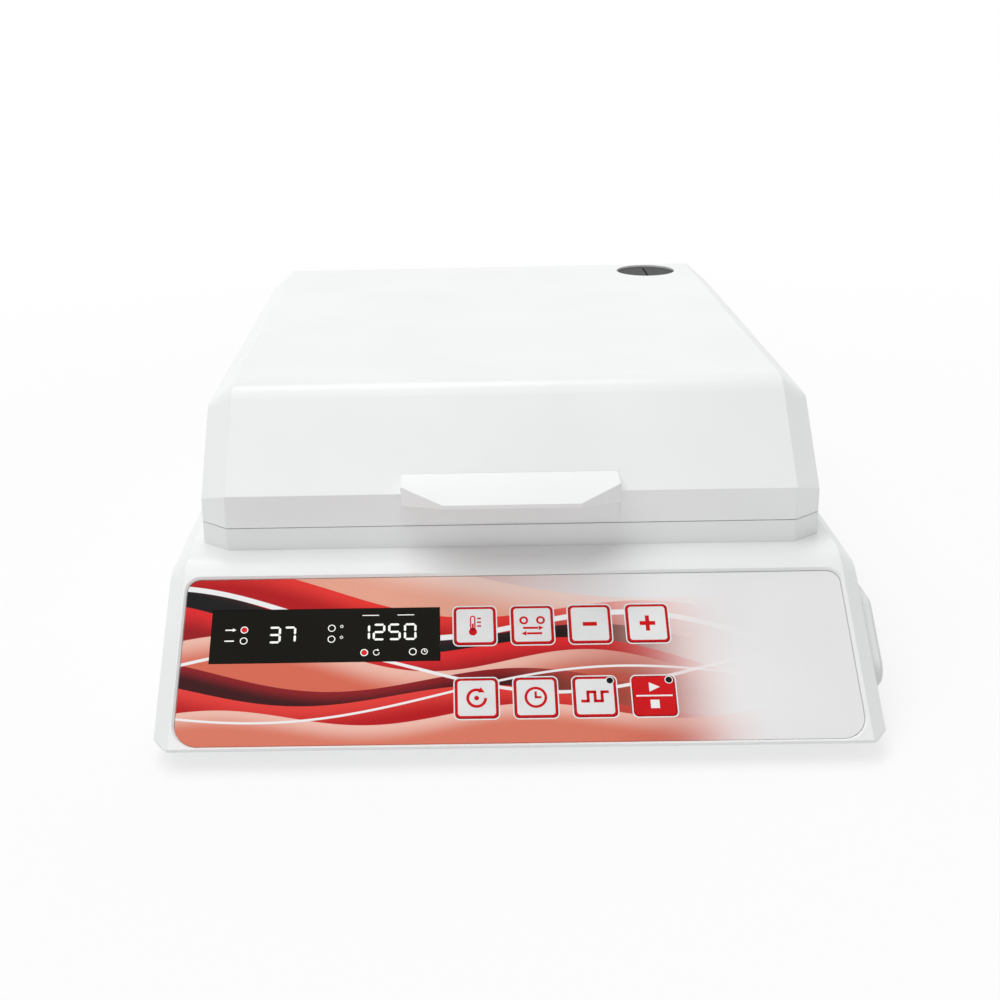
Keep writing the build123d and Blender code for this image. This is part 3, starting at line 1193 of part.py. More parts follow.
with BuildPart() as platform_bearings:
    with BuildSketch(level(PLATFORM_Z)):
        with Locations([(x + ORBIT_RADIUS, y) for x, y in IDLER_PLACES]):
            Circle(IDLER_BEARING_RADIUS - FIT)
            Circle(IDLER_RADIUS + FIT, mode=Mode.SUBTRACT)
        with Locations((ORBIT_RADIUS, CHAMBER_Y)):
            Circle(PIN_BEARING_RADIUS - FIT)
            Circle(SPINDLE_PIN_RADIUS + FIT, mode=Mode.SUBTRACT)
    extrude(amount=IDLER_BEARING_WIDTH)
save(platform_bearings, "platform_bearings")

with BuildPart() as plate_mats:
    with BuildSketch(level(PLATFORM_TOP_Z)):
        with Locations(BAY_PLACES):
            RectangleRounded(BAY_WIDTH - 2 * PAN_CLEAR, BAY_LENGTH - 2 * PAN_CLEAR, WALL)
    extrude(amount=MAT_THICKNESS)
save(plate_mats, "plate_mats")

with BuildPart() as plate_springs:
    for x, y in BAY_PLACES:
        side = 1 if x > ORBIT_RADIUS else -1
        root = x + side * (BAY_WIDTH / 2 + SPRING_BOW + SPRING_SHEET / 2 - SPRING_REACH)
        with BuildSketch(level(PLATFORM_TOP_Z + MAT_THICKNESS + PAN_CLEAR)):
            with BuildLine():
                ThreePointArc(
                    (root, y - SPRING_LENGTH / 2),
                    (root - side * SPRING_BOW, y),
                    (root, y + SPRING_LENGTH / 2),
                )
                offset(amount=SPRING_SHEET / 2, side=Side.BOTH)
            make_face()
        extrude(amount=RAIL_HEIGHT - MAT_THICKNESS - PAN_CLEAR)
        # Posts on the platform's margin that hold the leaf's ends
        with BuildSketch(level(PLATFORM_TOP_Z)):
            with Locations((root + side * RAIL, y)):
                with GridLocations(0, SPRING_LENGTH, 1, 2):
                    Rectangle(2 * RAIL, RAIL)
        extrude(amount=RAIL_HEIGHT)
save(plate_springs, "plate_springs")

# Lid

with BuildPart() as lid_shell:
    add(lid_form(0, LID_Z))
    rear_top = edges().filter_by(Axis.X).group_by(Axis.Z)[-1].sort_by(Axis.Y)[-1]
    fillet(rear_top, LID_REAR_ROUND)
    add(lid_form(LID_WALL, LID_Z - CUT_OVER), mode=Mode.SUBTRACT)
    with BuildSketch(level(LID_TOP_Z - 2 * LID_WALL)):
        with Locations((PORT_X, PORT_Y)):
            Circle(PORT_RADIUS)
    extrude(amount=3 * LID_WALL, mode=Mode.SUBTRACT)
save(lid_shell, "lid_shell")

with BuildPart() as lid_liner:
    add(lid_form(LINER_INSET, FLANGE_Z))
    # Flange that the seal presses on, out to the lid's walls
    with BuildSketch(level(FLANGE_Z)):
        add(lid_outline(LID_WALL + FOAM_CLEAR))
    extrude(amount=LINER_SHEET)
    add(lid_form(LINER_INSET + LINER_SHEET, FLANGE_Z - CUT_OVER), mode=Mode.SUBTRACT)
    with BuildSketch(level(LID_TOP_Z - LINER_INSET - 2 * LINER_SHEET)):
        with Locations((PORT_X, PORT_Y)):
            Circle(PORT_BORE_RADIUS + PORT_SHEET + FOAM_CLEAR)
    extrude(amount=3 * LINER_SHEET, mode=Mode.SUBTRACT)
save(lid_liner, "lid_liner")

with BuildPart() as lid_insulation:
    add(lid_form(LID_WALL + FOAM_CLEAR, FLANGE_Z + LINER_SHEET + FOAM_CLEAR))
    add(lid_form(LINER_INSET - FOAM_CLEAR, FLANGE_Z), mode=Mode.SUBTRACT)
    with BuildSketch(level(LID_TOP_Z - LINER_INSET)):
        with Locations((PORT_X, PORT_Y)):
            Circle(PORT_RADIUS + PORT_SHEET + FOAM_CLEAR)
    extrude(amount=LINER_INSET, mode=Mode.SUBTRACT)
save(lid_insulation, "lid_insulation")

with BuildPart() as port_sleeve:
    with BuildSketch(level(PORT_FLOOR_Z - PORT_SHEET)):
        with Locations((PORT_X, PORT_Y)):
            Circle(PORT_RADIUS + PORT_SHEET)
    extrude(amount=LID_TOP_Z - LID_WALL - PORT_FLOOR_Z + PORT_SHEET)
    with BuildSketch(level(PORT_FLOOR_Z)):
        with Locations((PORT_X, PORT_Y)):
            Circle(PORT_RADIUS)
    extrude(amount=PORT_RECESS, mode=Mode.SUBTRACT)
    # Tube on through the liner into the chamber
    with BuildSketch(level(PORT_FOOT_Z)):
        with Locations((PORT_X, PORT_Y)):
            Circle(PORT_BORE_RADIUS + PORT_SHEET)
    extrude(amount=PORT_FLOOR_Z - PORT_FOOT_Z)
    with BuildSketch(level(PORT_FOOT_Z)):
        with Locations((PORT_X, PORT_Y)):
            Circle(PORT_BORE_RADIUS)
    extrude(amount=PORT_FLOOR_Z - PORT_FOOT_Z, mode=Mode.SUBTRACT)
save(port_sleeve, "port_sleeve")

with BuildPart() as port_grommet:
    with BuildSketch(level(PORT_FLOOR_Z)):
        with Locations((PORT_X, PORT_Y)):
            Circle(PORT_RADIUS - GROMMET_CLEAR)
            SlotOverall(1.5 * PORT_RADIUS, GROMMET_SLIT, rotation=90, mode=Mode.SUBTRACT)
    extrude(amount=GROMMET_THICKNESS)
save(port_grommet, "port_grommet")

with BuildPart() as lid_handle:
    lip_y = LID_FRONT_Y - HANDLE_REACH
    face_y = LID_FRONT_Y - HANDLE_PROUD
    slope_z = LID_Z + LID_BAND
    top_y = LID_FRONT_Y + (HANDLE_TOP_Z - slope_z) * LID_SLOPE_RUN / (LID_TOP_Z - slope_z)
    with BuildSketch(Plane.YZ.offset(-HANDLE_WIDTH / 2)):
        with BuildLine():
            Polyline(
                (LID_FRONT_Y, HANDLE_FOOT_Z),
                (LID_FRONT_Y, slope_z),
                (top_y, HANDLE_TOP_Z),
                (lip_y, HANDLE_LIP_Z),
                (lip_y, HANDLE_LIP_Z - HANDLE_LIP),
                (face_y, HANDLE_ROOT_Z),
                (face_y, HANDLE_FOOT_Z),
                close=True,
            )
        make_face()
    extrude(amount=HANDLE_WIDTH)
    # Front corners of the grip, cut at a slant
    with BuildSketch(level(HANDLE_FOOT_Z)):
        with Locations((HANDLE_WIDTH / 2, lip_y), (-HANDLE_WIDTH / 2, lip_y)):
            Rectangle(HANDLE_CUT * sqrt(2), HANDLE_CUT * sqrt(2), rotation=45)
    extrude(amount=HANDLE_TOP_Z - HANDLE_FOOT_Z, mode=Mode.SUBTRACT)
save(lid_handle, "lid_handle")

# Lid hinges

with BuildPart() as hinge_arms:
    for middle in (-HINGE_SPACING / 2, HINGE_SPACING / 2):
        with BuildSketch(Plane.YZ.offset(middle - HINGE_ARM_WIDTH / 2)):
            with Locations((HINGE_Y, PARTING_Z)):
                Circle(HINGE_ROUND)
            with BuildLine():
                Polyline(
                    (LID_REAR_Y, LID_Z + LID_GAP),
                    (HINGE_Y, PARTING_Z - HINGE_ROUND / 2),
                    (HINGE_Y, PARTING_Z + HINGE_ROUND),
                    (LID_REAR_Y + HINGE_LEAF, LID_Z + HINGE_LEAF_HEIGHT / 2),
                    (LID_REAR_Y, LID_Z + HINGE_LEAF_HEIGHT / 2),
                    close=True,
                )
            make_face()
        extrude(amount=HINGE_ARM_WIDTH)
        with BuildSketch(upright(middle, LID_REAR_Y + HINGE_LEAF)):
            with Locations((0, LID_Z + LID_GAP + HINGE_LEAF_HEIGHT / 2)):
                RectangleRounded(HINGE_LEAF_WIDTH, HINGE_LEAF_HEIGHT, HINGE_LEAF)
        extrude(amount=HINGE_LEAF)
    with BuildSketch(Plane.YZ.offset(-HINGE_SPACING)):
        with Locations((HINGE_Y, PARTING_Z)):
            Circle(HINGE_PIN_RADIUS + FIT)
    extrude(amount=2 * HINGE_SPACING, mode=Mode.SUBTRACT)
save(hinge_arms, "hinge_arms")

with BuildPart() as hinge_brackets:
    for middle in (-HINGE_SPACING / 2, HINGE_SPACING / 2):
        with BuildSketch(level(DECK_Z)):
            with Locations((middle, HINGE_Y)):
                Rectangle(HINGE_FOOT_WIDTH, 2 * HINGE_ROUND + 2 * HINGE_FOOT)
        extrude(amount=HINGE_FOOT)
        for side in (-1, 1):
            ear = middle + side * (HINGE_ARM_WIDTH / 2 + HINGE_SIDE_CLEAR + HINGE_EAR / 2)
            with BuildSketch(Plane.YZ.offset(ear - HINGE_EAR / 2)):
                with Locations((HINGE_Y, PARTING_Z)):
                    Circle(HINGE_ROUND)
                with Locations((HINGE_Y, (PARTING_Z + DECK_Z) / 2)):
                    Rectangle(2 * HINGE_ROUND, COLLAR_HEIGHT)
            extrude(amount=HINGE_EAR)
    with BuildSketch(Plane.YZ.offset(-HINGE_SPACING)):
        with Locations((HINGE_Y, PARTING_Z)):
            Circle(HINGE_PIN_RADIUS + FIT)
    extrude(amount=2 * HINGE_SPACING, mode=Mode.SUBTRACT)
save(hinge_brackets, "hinge_brackets")

with BuildPart() as hinge_pins:
    reach = HINGE_ARM_WIDTH / 2 + HINGE_SIDE_CLEAR + HINGE_EAR
    for middle in (-HINGE_SPACING / 2, HINGE_SPACING / 2):
        with BuildSketch(Plane.YZ.offset(middle - reach)):
            with Locations((HINGE_Y, PARTING_Z)):
                Circle(HINGE_PIN_RADIUS)
        extrude(amount=2 * reach)
        # Head that stops the pin at its outer ear
        outer = middle + reach if middle > 0 else middle - reach - HINGE_PIN_HEAD
        with BuildSketch(Plane.YZ.offset(outer)):
            with Locations((HINGE_Y, PARTING_Z)):
                Circle(HINGE_ROUND - HINGE_PIN_HEAD)
        extrude(amount=HINGE_PIN_HEAD)
save(hinge_pins, "hinge_pins")
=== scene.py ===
# %% [markdown]
# # A benchtop incubating shaker
# The machine warms and swirls microplates. Its CAD model, already exact in size, is the frame:
# every node comes in at its place and stays there. This notebook gives each node its real finish,
# and adds what is too fine for CAD, such as prints, screws and ribs.

# %% Load the frame
import json
from math import atan2, cos, pi, radians, sin

import bmesh
import bpy
from mathutils import Matrix, Vector


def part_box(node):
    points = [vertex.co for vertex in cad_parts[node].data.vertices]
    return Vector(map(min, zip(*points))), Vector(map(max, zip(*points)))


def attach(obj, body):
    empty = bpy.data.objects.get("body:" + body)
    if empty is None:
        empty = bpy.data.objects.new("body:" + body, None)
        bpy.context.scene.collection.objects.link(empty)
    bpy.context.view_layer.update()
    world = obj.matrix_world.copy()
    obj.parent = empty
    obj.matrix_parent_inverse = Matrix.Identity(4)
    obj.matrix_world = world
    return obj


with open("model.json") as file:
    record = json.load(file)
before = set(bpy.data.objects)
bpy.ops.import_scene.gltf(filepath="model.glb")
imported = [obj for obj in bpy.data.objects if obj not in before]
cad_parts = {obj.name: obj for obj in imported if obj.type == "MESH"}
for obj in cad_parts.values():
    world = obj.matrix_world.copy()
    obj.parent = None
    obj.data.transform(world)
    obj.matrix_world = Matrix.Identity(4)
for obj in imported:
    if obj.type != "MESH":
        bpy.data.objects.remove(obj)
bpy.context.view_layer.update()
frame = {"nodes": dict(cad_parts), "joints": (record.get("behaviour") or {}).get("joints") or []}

scene = bpy.context.scene
MM = 0.001

# %% [markdown]
# ## Colour and nodes
# Colours are picked as sRGB hex, the way a colour card gives them. Blender's shaders count in
# linear light, so one function turns them. A second small function adds a shader node: it takes
# the node's settings and, for each input, a value or another node's output.

# %% Colour and node helpers
def linear(code):
    """A hex colour such as #F0F1F1 as linear red, green, blue and alpha."""
    parts = [int(code[place : place + 2], 16) / 255 for place in (1, 3, 5)]
    light = [part / 12.92 if part <= 0.04045 else ((part + 0.055) / 1.055) ** 2.4 for part in parts]
    return light + [1.0]


def add_node(tree, kind, inputs=None, **settings):
    """Adds a node with its settings; each input takes a value or another node's output."""
    made = tree.nodes.new(kind)
    for name, value in settings.items():
        setattr(made, name, value)
    for key, value in (inputs or {}).items():
        if isinstance(value, bpy.types.NodeSocket):
            tree.links.new(value, made.inputs[key])
        else:
            made.inputs[key].default_value = value
    return made


def new_finish(name, colour, **values):
    """A material, its node tree and its Principled shader, with values set on the shader itself."""
    material = bpy.data.materials.new(name)
    material.use_nodes = True
    shader = material.node_tree.nodes["Principled BSDF"]
    shader.inputs["Base Color"].default_value = linear(colour)
    for socket, value in values.items():
        shader.inputs[socket.replace("_", " ")].default_value = value
    return material, material.node_tree, shader


print("white of the housing in linear light", [round(part, 3) for part in linear("#F0F1F1")])

# %% [markdown]
# ## Patterns with a real size
# A pattern that floats in the object's own coordinates keeps its scale in millimetres: noise
# with a scale of 1000 / 0.8 has cells 0.8 mm wide. Three small steps come back in most finishes:
# a shade that drifts slowly, a gloss that is never quite even, and relief. The relief starts
# from a bevelled normal, so a sharp CAD edge catches the light as if it were slightly rounded.
#
# The finest real patterns would be lost in a picture of the whole machine. Mould grain and the
# tooth of film and ink measure about 0.1 mm, the pores of rubber and the lines that a tool
# leaves in metal less. They are drawn several times coarser here, as coarse as they need to show.

# %% Pattern helpers
# Noise stays near 0.5, so its middle is stretched: hard for a shade, less for a gloss
SHADE_FROM, SHADE_TO = 0.35, 0.65
GLOSS_FROM, GLOSS_TO = 0.3, 0.7


def cells(tree, size_mm, detail=2.0, stretch=(1.0, 1.0, 1.0)):
    """Noise with cells of size_mm, drawn out by stretch along each axis."""
    place = add_node(tree, "ShaderNodeTexCoord").outputs["Object"]
    scale = [1 / (size_mm * MM * length) for length in stretch]
    laid = add_node(tree, "ShaderNodeMapping", {"Vector": place, "Scale": scale}).outputs[0]
    grain = {"Vector": laid, "Scale": 1.0, "Detail": detail}
    return add_node(tree, "ShaderNodeTexNoise", grain).outputs["Fac"]


def drift_shade(tree, shader, colour, shade, amount):
    """Lets the colour drift towards shade by a pattern's value."""
    ends = {"Value": amount, "From Min": SHADE_FROM, "From Max": SHADE_TO}
    soft = add_node(tree, "ShaderNodeMapRange", ends).outputs[0]
    mixed = add_node(tree, "ShaderNodeMix", {0: soft, 6: linear(colour), 7: linear(shade)}, data_type="RGBA")
    tree.links.new(mixed.outputs[2], shader.inputs["Base Color"])


def vary_gloss(tree, shader, roughness, spread, amount):
    """Lets the roughness wander by spread either way."""
    ends = {"Value": amount, "From Min": GLOSS_FROM, "From Max": GLOSS_TO}
    ends.update({"To Min": roughness - spread, "To Max": roughness + spread})
    tree.links.new(add_node(tree, "ShaderNodeMapRange", ends).outputs[0], shader.inputs["Roughness"])


def give_relief(tree, shader, height, height_mm, edge_mm):
    """Bump of height_mm from a pattern, over edges that look rounded by edge_mm."""
    rounded = add_node(tree, "ShaderNodeBevel", {"Radius": edge_mm * MM}, samples=4).outputs[0]
    bump = add_node(tree, "ShaderNodeBump", {"Height": height, "Distance": height_mm * MM, "Normal": rounded})
    tree.links.new(bump.outputs[0], shader.inputs["Normal"])


# %% [markdown]
# ## Families of finishes
# Moulded plastic, bare metal, coated sheet and rubber each have their own way to meet the light.
# One function per family holds what its members share, and each call gives what sets one apart.

# %% The four families
def moulded_plastic(name, colour, shade, roughness, grain_mm, grain_height_mm, edge_mm=0.5, ior=1.52):
    """Injection moulded plastic: grain from a spark-eroded mould, one even colour right through."""
    material, tree, shader = new_finish(name, colour, Roughness=roughness, IOR=ior)
    drift_shade(tree, shader, colour, shade, cells(tree, 60.0))
    vary_gloss(tree, shader, roughness, 0.03, cells(tree, 24.0, 3.0))
    give_relief(tree, shader, cells(tree, grain_mm), grain_height_mm, edge_mm)
    return material


def bare_metal(name, colour, shade, roughness, line_mm, lay=(1.0, 1.0, 1.0), height_mm=0.01, edge_mm=0.3):
    """Metal with tool lines of width line_mm, drawn out along the lay."""
    material, tree, shader = new_finish(name, colour, Metallic=1.0, Roughness=roughness)
    lines = cells(tree, line_mm, 3.0, lay)
    drift_shade(tree, shader, colour, shade, cells(tree, 18.0, 4.0))
    vary_gloss(tree, shader, roughness, 0.07, lines)
    give_relief(tree, shader, lines, height_mm, edge_mm)
    return material


def coated_sheet(name, colour, shade, roughness, peel_mm, peel_height_mm, edge_mm=0.4):
    """Powder coat or enamel: the film melts into low waves, like the peel of an orange."""
    material, tree, shader = new_finish(name, colour, Roughness=roughness, IOR=1.5)
    drift_shade(tree, shader, colour, shade, cells(tree, 40.0))
    vary_gloss(tree, shader, roughness, 0.05, cells(tree, 9.0, 2.0))
    give_relief(tree, shader, cells(tree, peel_mm), peel_height_mm, edge_mm)
    return material


def rubber(name, colour, shade, roughness, pore_mm, pore_height_mm, edge_mm=0.3):
    """Rubber or foam: matt, with fine pores and a dusty drift of shade."""
    material, tree, shader = new_finish(name, colour, Roughness=roughness, IOR=1.5)
    drift_shade(tree, shader, colour, shade, cells(tree, 12.0, 4.0))
    vary_gloss(tree, shader, roughness, 0.06, cells(tree, 5.0, 3.0))
    give_relief(tree, shader, cells(tree, pore_mm, 4.0), pore_height_mm, edge_mm)
    return material


def dress(material, *names):
    """Gives a finish to CAD nodes, which keep their shapes."""
    for name in names:
        slots = frame["nodes"][name].data.materials
        slots.clear()
        slots.append(material)
    print(material.name, "on", ", ".join(names))


# %% [markdown]
# ## The white shell
# Housing, lid, handle and port sleeve are moulded from white ABS. The mould is lightly grained,
# so the sheen is satin: broad soft highlights and no mirror image. The lid is the cleanest white,
# and the vent cover is a step greyer: painted shade for the shade that falls on its side face.

# %% White mouldings
shell_white = moulded_plastic("moulded_abs_white", "#F0F1F1", "#ECEDED", 0.34, 1.2, 0.008, 0.45)
lid_white = moulded_plastic("moulded_abs_lid", "#F3F4F4", "#F0F1F1", 0.32, 1.2, 0.008, 0.45)
# The vent cover is the same white plastic, greyed here as painted shade
vent_painted_shade_grey = moulded_plastic("moulded_abs_vent_painted_shade", "#E2E3E3", "#DEDFE0", 0.42, 1.2, 0.01, 0.4)
dress(shell_white, "base_housing", "port_sleeve")
dress(lid_white, "lid_shell", "lid_handle")
dress(vent_painted_shade_grey, "side_vent_cover")

# %% [markdown]
# ## Black mouldings and rubber
# The inlet, the switch's frame, the fan and the rails are dark nylon or acetal, which scatters
# a little light and looks charcoal, not black. The rocker is glossy polycarbonate. Rubber is
# duller again and shows its pores close up.

# %% Dark parts
black_nylon = moulded_plastic("moulded_nylon_black", "#1B1C1E", "#222326", 0.46, 0.4, 0.012, 0.3)
switch_gloss = moulded_plastic(
    "moulded_polycarbonate_black", "#141416", "#19191C", 0.22, 1.2, 0.004, 0.3, ior=1.585
)
acetal_grey = moulded_plastic(
    "moulded_acetal_charcoal", "#2C2D30", "#333438", 0.38, 0.5, 0.008, 0.3, ior=1.48
)
foot_rubber = rubber("moulded_neoprene", "#1F1F20", "#292929", 0.78, 0.5, 0.03)
grommet_rubber = rubber("silicone_dark_grey", "#262728", "#2C2D2E", 0.7, 0.6, 0.02)
seal_rubber = rubber("silicone_sponge_grey", "#56585B", "#606265", 0.8, 0.5, 0.06)
mat_rubber = rubber("ribbed_mat_rubber", "#242528", "#2D2E31", 0.7, 0.5, 0.03)
foam = rubber("closed_cell_foam", "#3B3C3E", "#47484A", 0.92, 0.9, 0.25)
belt_urethane = rubber("polyurethane_cord_green", "#6F9A5A", "#7AA364", 0.35, 1.5, 0.01)
heater_silicone = rubber("silicone_heater_foil", "#9C4A24", "#A9562C", 0.55, 0.7, 0.03)
dress(black_nylon, "mains_inlet", "fuse_drawer", "power_switch_frame")
dress(black_nylon, "cooling_fan_frame", "cooling_fan_rotor")
dress(switch_gloss, "power_rocker")
dress(acetal_grey, "plate_rails", "key_switches", "display_module")
dress(foot_rubber, "rubber_feet")
dress(grommet_rubber, "port_grommet")
dress(seal_rubber, "lid_seal")
dress(mat_rubber, "plate_mats")
dress(foam, "chamber_insulation", "lid_insulation")
dress(belt_urethane, "drive_belt")
dress(heater_silicone, "heater_foil")

# %% [markdown]
# ## Metals
# The chamber is drawn from aluminium and clear anodised: pale, slightly milky, with a fine lay
# from rolling. The drive is ground steel, brighter and tighter in grain. Zinc coated sheet is
# bluish with soft patches, and the rear panel and the hinges are powder coated.

# %% Metal parts
pan_aluminium = bare_metal("anodised_aluminium_pan", "#C9CBCD", "#C1C3C6", 0.36, 0.25, (60.0, 1.0, 1.0))
liner_aluminium = bare_metal("anodised_aluminium_liner", "#CED0D2", "#C6C8CB", 0.34, 0.25, (60.0, 1.0, 1.0))
platform_aluminium = bare_metal(
    "anodised_aluminium_platform", "#BDBFC2", "#B4B6BA", 0.42, 0.35, (1.0, 40.0, 1.0)
)
cast_aluminium = bare_metal("machined_aluminium", "#B5B7BA", "#A9ABAF", 0.4, 0.4, (12.0, 1.0, 1.0), 0.02)
turned_aluminium = bare_metal("turned_aluminium", "#BFC1C4", "#B5B7BB", 0.3, 0.2, (1.0, 1.0, 8.0))
ground_steel = bare_metal("ground_steel", "#A9AAAD", "#9FA0A4", 0.24, 0.15, (1.0, 1.0, 20.0))
race_steel = bare_metal("polished_bearing_steel", "#B9BABD", "#B0B1B5", 0.14, 0.1)
spring_steel = bare_metal("stainless_spring_strip", "#B4B5B8", "#AAABAF", 0.22, 0.15, (1.0, 30.0, 1.0))
probe_steel = bare_metal("stainless_probe_tube", "#B1B3B6", "#A8AAAD", 0.26, 0.12, (1.0, 30.0, 1.0))
zinc_sheet = bare_metal("zinc_coated_sheet", "#AEB3B9", "#A2A8AF", 0.4, 2.5, (3.0, 1.0, 1.0), 0.015)
zinc_block = bare_metal("zinc_coated_block", "#8F9298", "#84878D", 0.46, 1.2, (1.0, 1.0, 1.0), 0.03)
nickel_pins = bare_metal("nickel_plated_brass", "#C6BFAE", "#BDB6A4", 0.2, 0.2)
motor_enamel = coated_sheet("motor_enamel", "#3E4146", "#45484D", 0.38, 1.2, 0.02)
panel_powder = coated_sheet("powder_coat_light_grey", "#D6D8D9", "#D1D3D4", 0.5, 1.1, 0.03)
hinge_powder = coated_sheet("powder_coat_white", "#E6E7E8", "#E1E2E3", 0.46, 1.0, 0.025)
dress(pan_aluminium, "chamber_pan")
dress(liner_aluminium, "lid_liner")
dress(platform_aluminium, "shaker_platform")
dress(cast_aluminium, "chassis_plate", "bearing_housing")
dress(turned_aluminium, "spindle_pulley")
cranks = [name for name in frame["nodes"] if name.startswith("idler_crank")]
dress(ground_steel, "spindle", "motor_pulley", "chassis_pillars", "hinge_pins", *cranks)
dress(race_steel, "chassis_bearings", "platform_bearings")
dress(spring_steel, "plate_springs")
dress(probe_steel, "temperature_sensor")
dress(zinc_sheet, "base_plate", "motor_bracket", "power_supply")
dress(zinc_block, "counterweight")
dress(nickel_pins, "inlet_pins")
dress(motor_enamel, "drive_motor")
dress(panel_powder, "rear_panel")
dress(hinge_powder, "hinge_arms", "hinge_brackets")

# %% [markdown]
# ## The circuit board
# A glass fibre board under green solder mask. Its copper shows as a faint raised net, so a
# Voronoi pattern with straight edges, a few millimetres wide, gives both the tone and the relief.

# %% Board finish
MASK_GREEN, TRACK_GREEN = "#1F5A36", "#2C7047"
TRACK_SPACING = 3.0


def board_finish():
    """Solder mask over copper tracks."""
    material, tree, shader = new_finish("solder_mask_green", MASK_GREEN, Roughness=0.35, IOR=1.55)
    place = add_node(tree, "ShaderNodeTexCoord").outputs["Object"]
    ways = {"Vector": place, "Scale": 1 / (TRACK_SPACING * MM)}
    net = add_node(tree, "ShaderNodeTexVoronoi", ways, distance="MANHATTAN", feature="F1")
    tracks = net.outputs["Distance"]
    drift_shade(tree, shader, MASK_GREEN, TRACK_GREEN, tracks)
    give_relief(tree, shader, tracks, 0.03, 0.2)
    return material


dress(board_finish(), "control_board")

# %% [markdown]
# ## The slope's own coordinates
# Everything on the control slope is laid out flat and then tipped on to it. The keys' joints
# point straight into the slope, which gives its normal. A point is then told by how far across
# it is, how far up the slope, and how high it stands off.

# %% Slope coordinates
press = next(joint["axis"] for joint in frame["joints"] if joint["name"] == "key_temp_press")
OUT = -Vector(press).normalized()
UP = Vector((0.0, OUT.z, -OUT.y))
SLOPE = Matrix(((1, 0, 0, 0), (0, UP.y, OUT.y, 0), (0, UP.z, OUT.z, 0), (0, 0, 0, 1)))


def patch_on_slope(name):
    """A node's extent in millimetres: left, right, foot and head along the slope, and its top."""
    points = [vertex.co for vertex in frame["nodes"][name].data.vertices]
    across = [point.x / MM for point in points]
    along = [point.dot(UP) / MM for point in points]
    return min(across), max(across), min(along), max(along), max(point.dot(OUT) / MM for point in points)


overlay = patch_on_slope("control_overlay")
window = patch_on_slope("display_window")
print("overlay", [round(value, 2) for value in overlay])
print("window", [round(value, 2) for value in window])

# %% [markdown]
# ## Flat prints
# A print on film or plastic has crisp edges and almost no thickness. Each mark is drawn as
# outlines in millimetres, filled by Blender's own 2-D curves, which know what a hole is, and
# kept as a mesh two hundredths of a millimetre thick, a hair above what it is printed on.

# %% Outlines and marks
INK_THICKNESS = 0.02
INK_LIFT = 0.02
SAME_POINT = 0.0005


def ring_points(x, y, radius, steps=40, start=0.0, turn=2 * pi):
    """Points round a circle or part of one."""
    angles = [start + turn * step / steps for step in range(steps + (turn < 2 * pi - 0.001))]
    return [(x + radius * cos(angle), y + radius * sin(angle)) for angle in angles]


def rounded_box(x, y, width, height, radius):
    """Outline of a box with round corners about a middle point."""
    outline = []
    for turn, (side, level) in enumerate(((1, 1), (-1, 1), (-1, -1), (1, -1))):
        corner = x + side * (width / 2 - radius), y + level * (height / 2 - radius)
        outline += ring_points(*corner, radius, 8, turn * pi / 2, pi / 2)
    return outline


def box(x, y, width, height):
    """Outline of a plain box about a middle point."""
    return [(x + i * width / 2, y + j * height / 2) for i, j in ((1, 1), (-1, 1), (-1, -1), (1, -1))]


def stroke(start, end, width):
    """Outline of a straight stroke between two points."""
    lay = atan2(end[1] - start[1], end[0] - start[0])
    dx, dy = -sin(lay) * width / 2, cos(lay) * width / 2
    corners = ((start, 1), (start, -1), (end, -1), (end, 1))
    return [(x + side * dx, y + side * dy) for (x, y), side in corners]


def band(x, y, radius, width, start, turn):
    """Outline of part of a ring."""
    outer = ring_points(x, y, radius + width / 2, 36, start, turn)
    return outer + ring_points(x, y, radius - width / 2, 36, start, turn)[::-1]


def hoop(x, y, radius, width):
    """Outlines of a whole ring: its rim and its hole."""
    return [ring_points(x, y, radius + width / 2), ring_points(x, y, radius - width / 2)]


def mark_mesh(name, marks, thickness=INK_THICKNESS):
    """Flat mesh in millimetres; each mark is one outline or a list of an outline and its holes."""
    joined = bmesh.new()
    for mark in marks:
        outlines = mark if isinstance(mark[0], list) else [mark]
        curve = bpy.data.curves.new(name, "CURVE")
        curve.dimensions, curve.fill_mode, curve.extrude = "2D", "BOTH", thickness / 2
        for outline in outlines:
            spline = curve.splines.new("POLY")
            spline.points.add(len(outline) - 1)
            for point, (x, y) in zip(spline.points, outline):
                point.co = (x, y, 0.0, 1.0)
            spline.use_cyclic_u = True
        holder = bpy.data.objects.new(name, curve)
        filled = bpy.data.meshes.new_from_object(holder)
        joined.from_mesh(filled)
        bpy.data.objects.remove(holder)
        bpy.data.meshes.remove(filled)
        bpy.data.curves.remove(curve)
    bmesh.ops.remove_doubles(joined, verts=joined.verts, dist=SAME_POINT)
    mesh = bpy.data.meshes.new(name)
    joined.to_mesh(mesh)
    joined.free()
    return mesh


def add_piece(name, mesh, material, body):
    """A finished mesh as a piece that moves with a body."""
    mesh.materials.append(material)
    piece = bpy.data.objects.new(name, mesh)
    scene.collection.objects.link(piece)
    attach(piece, body)
    return piece


def print_on_slope(name, marks, x, along, top, material, body, slot):
    """Prints marks on the slope about a point, just above a surface at height top."""
    mesh = mark_mesh(name, marks)
    lift = Matrix.Translation((x, along, top + INK_LIFT))
    mesh.transform(SLOPE @ Matrix.Scale(MM, 4) @ lift)
    return add_piece(name, mesh, material, body)


# %% [markdown]
# ## Inks
# Screen ink lies on the film as a thin even coat with a slight tooth. The display's marks are
# lit from behind through the tinted window, so their white glows a little and stays white.
# Film, ink and window have an anti-glare coat, which takes most of the mirror image away and
# leaves their colours deep. A low specular level on the shader stands for it.

# %% Ink finishes
LOW_GLOSS = 0.06


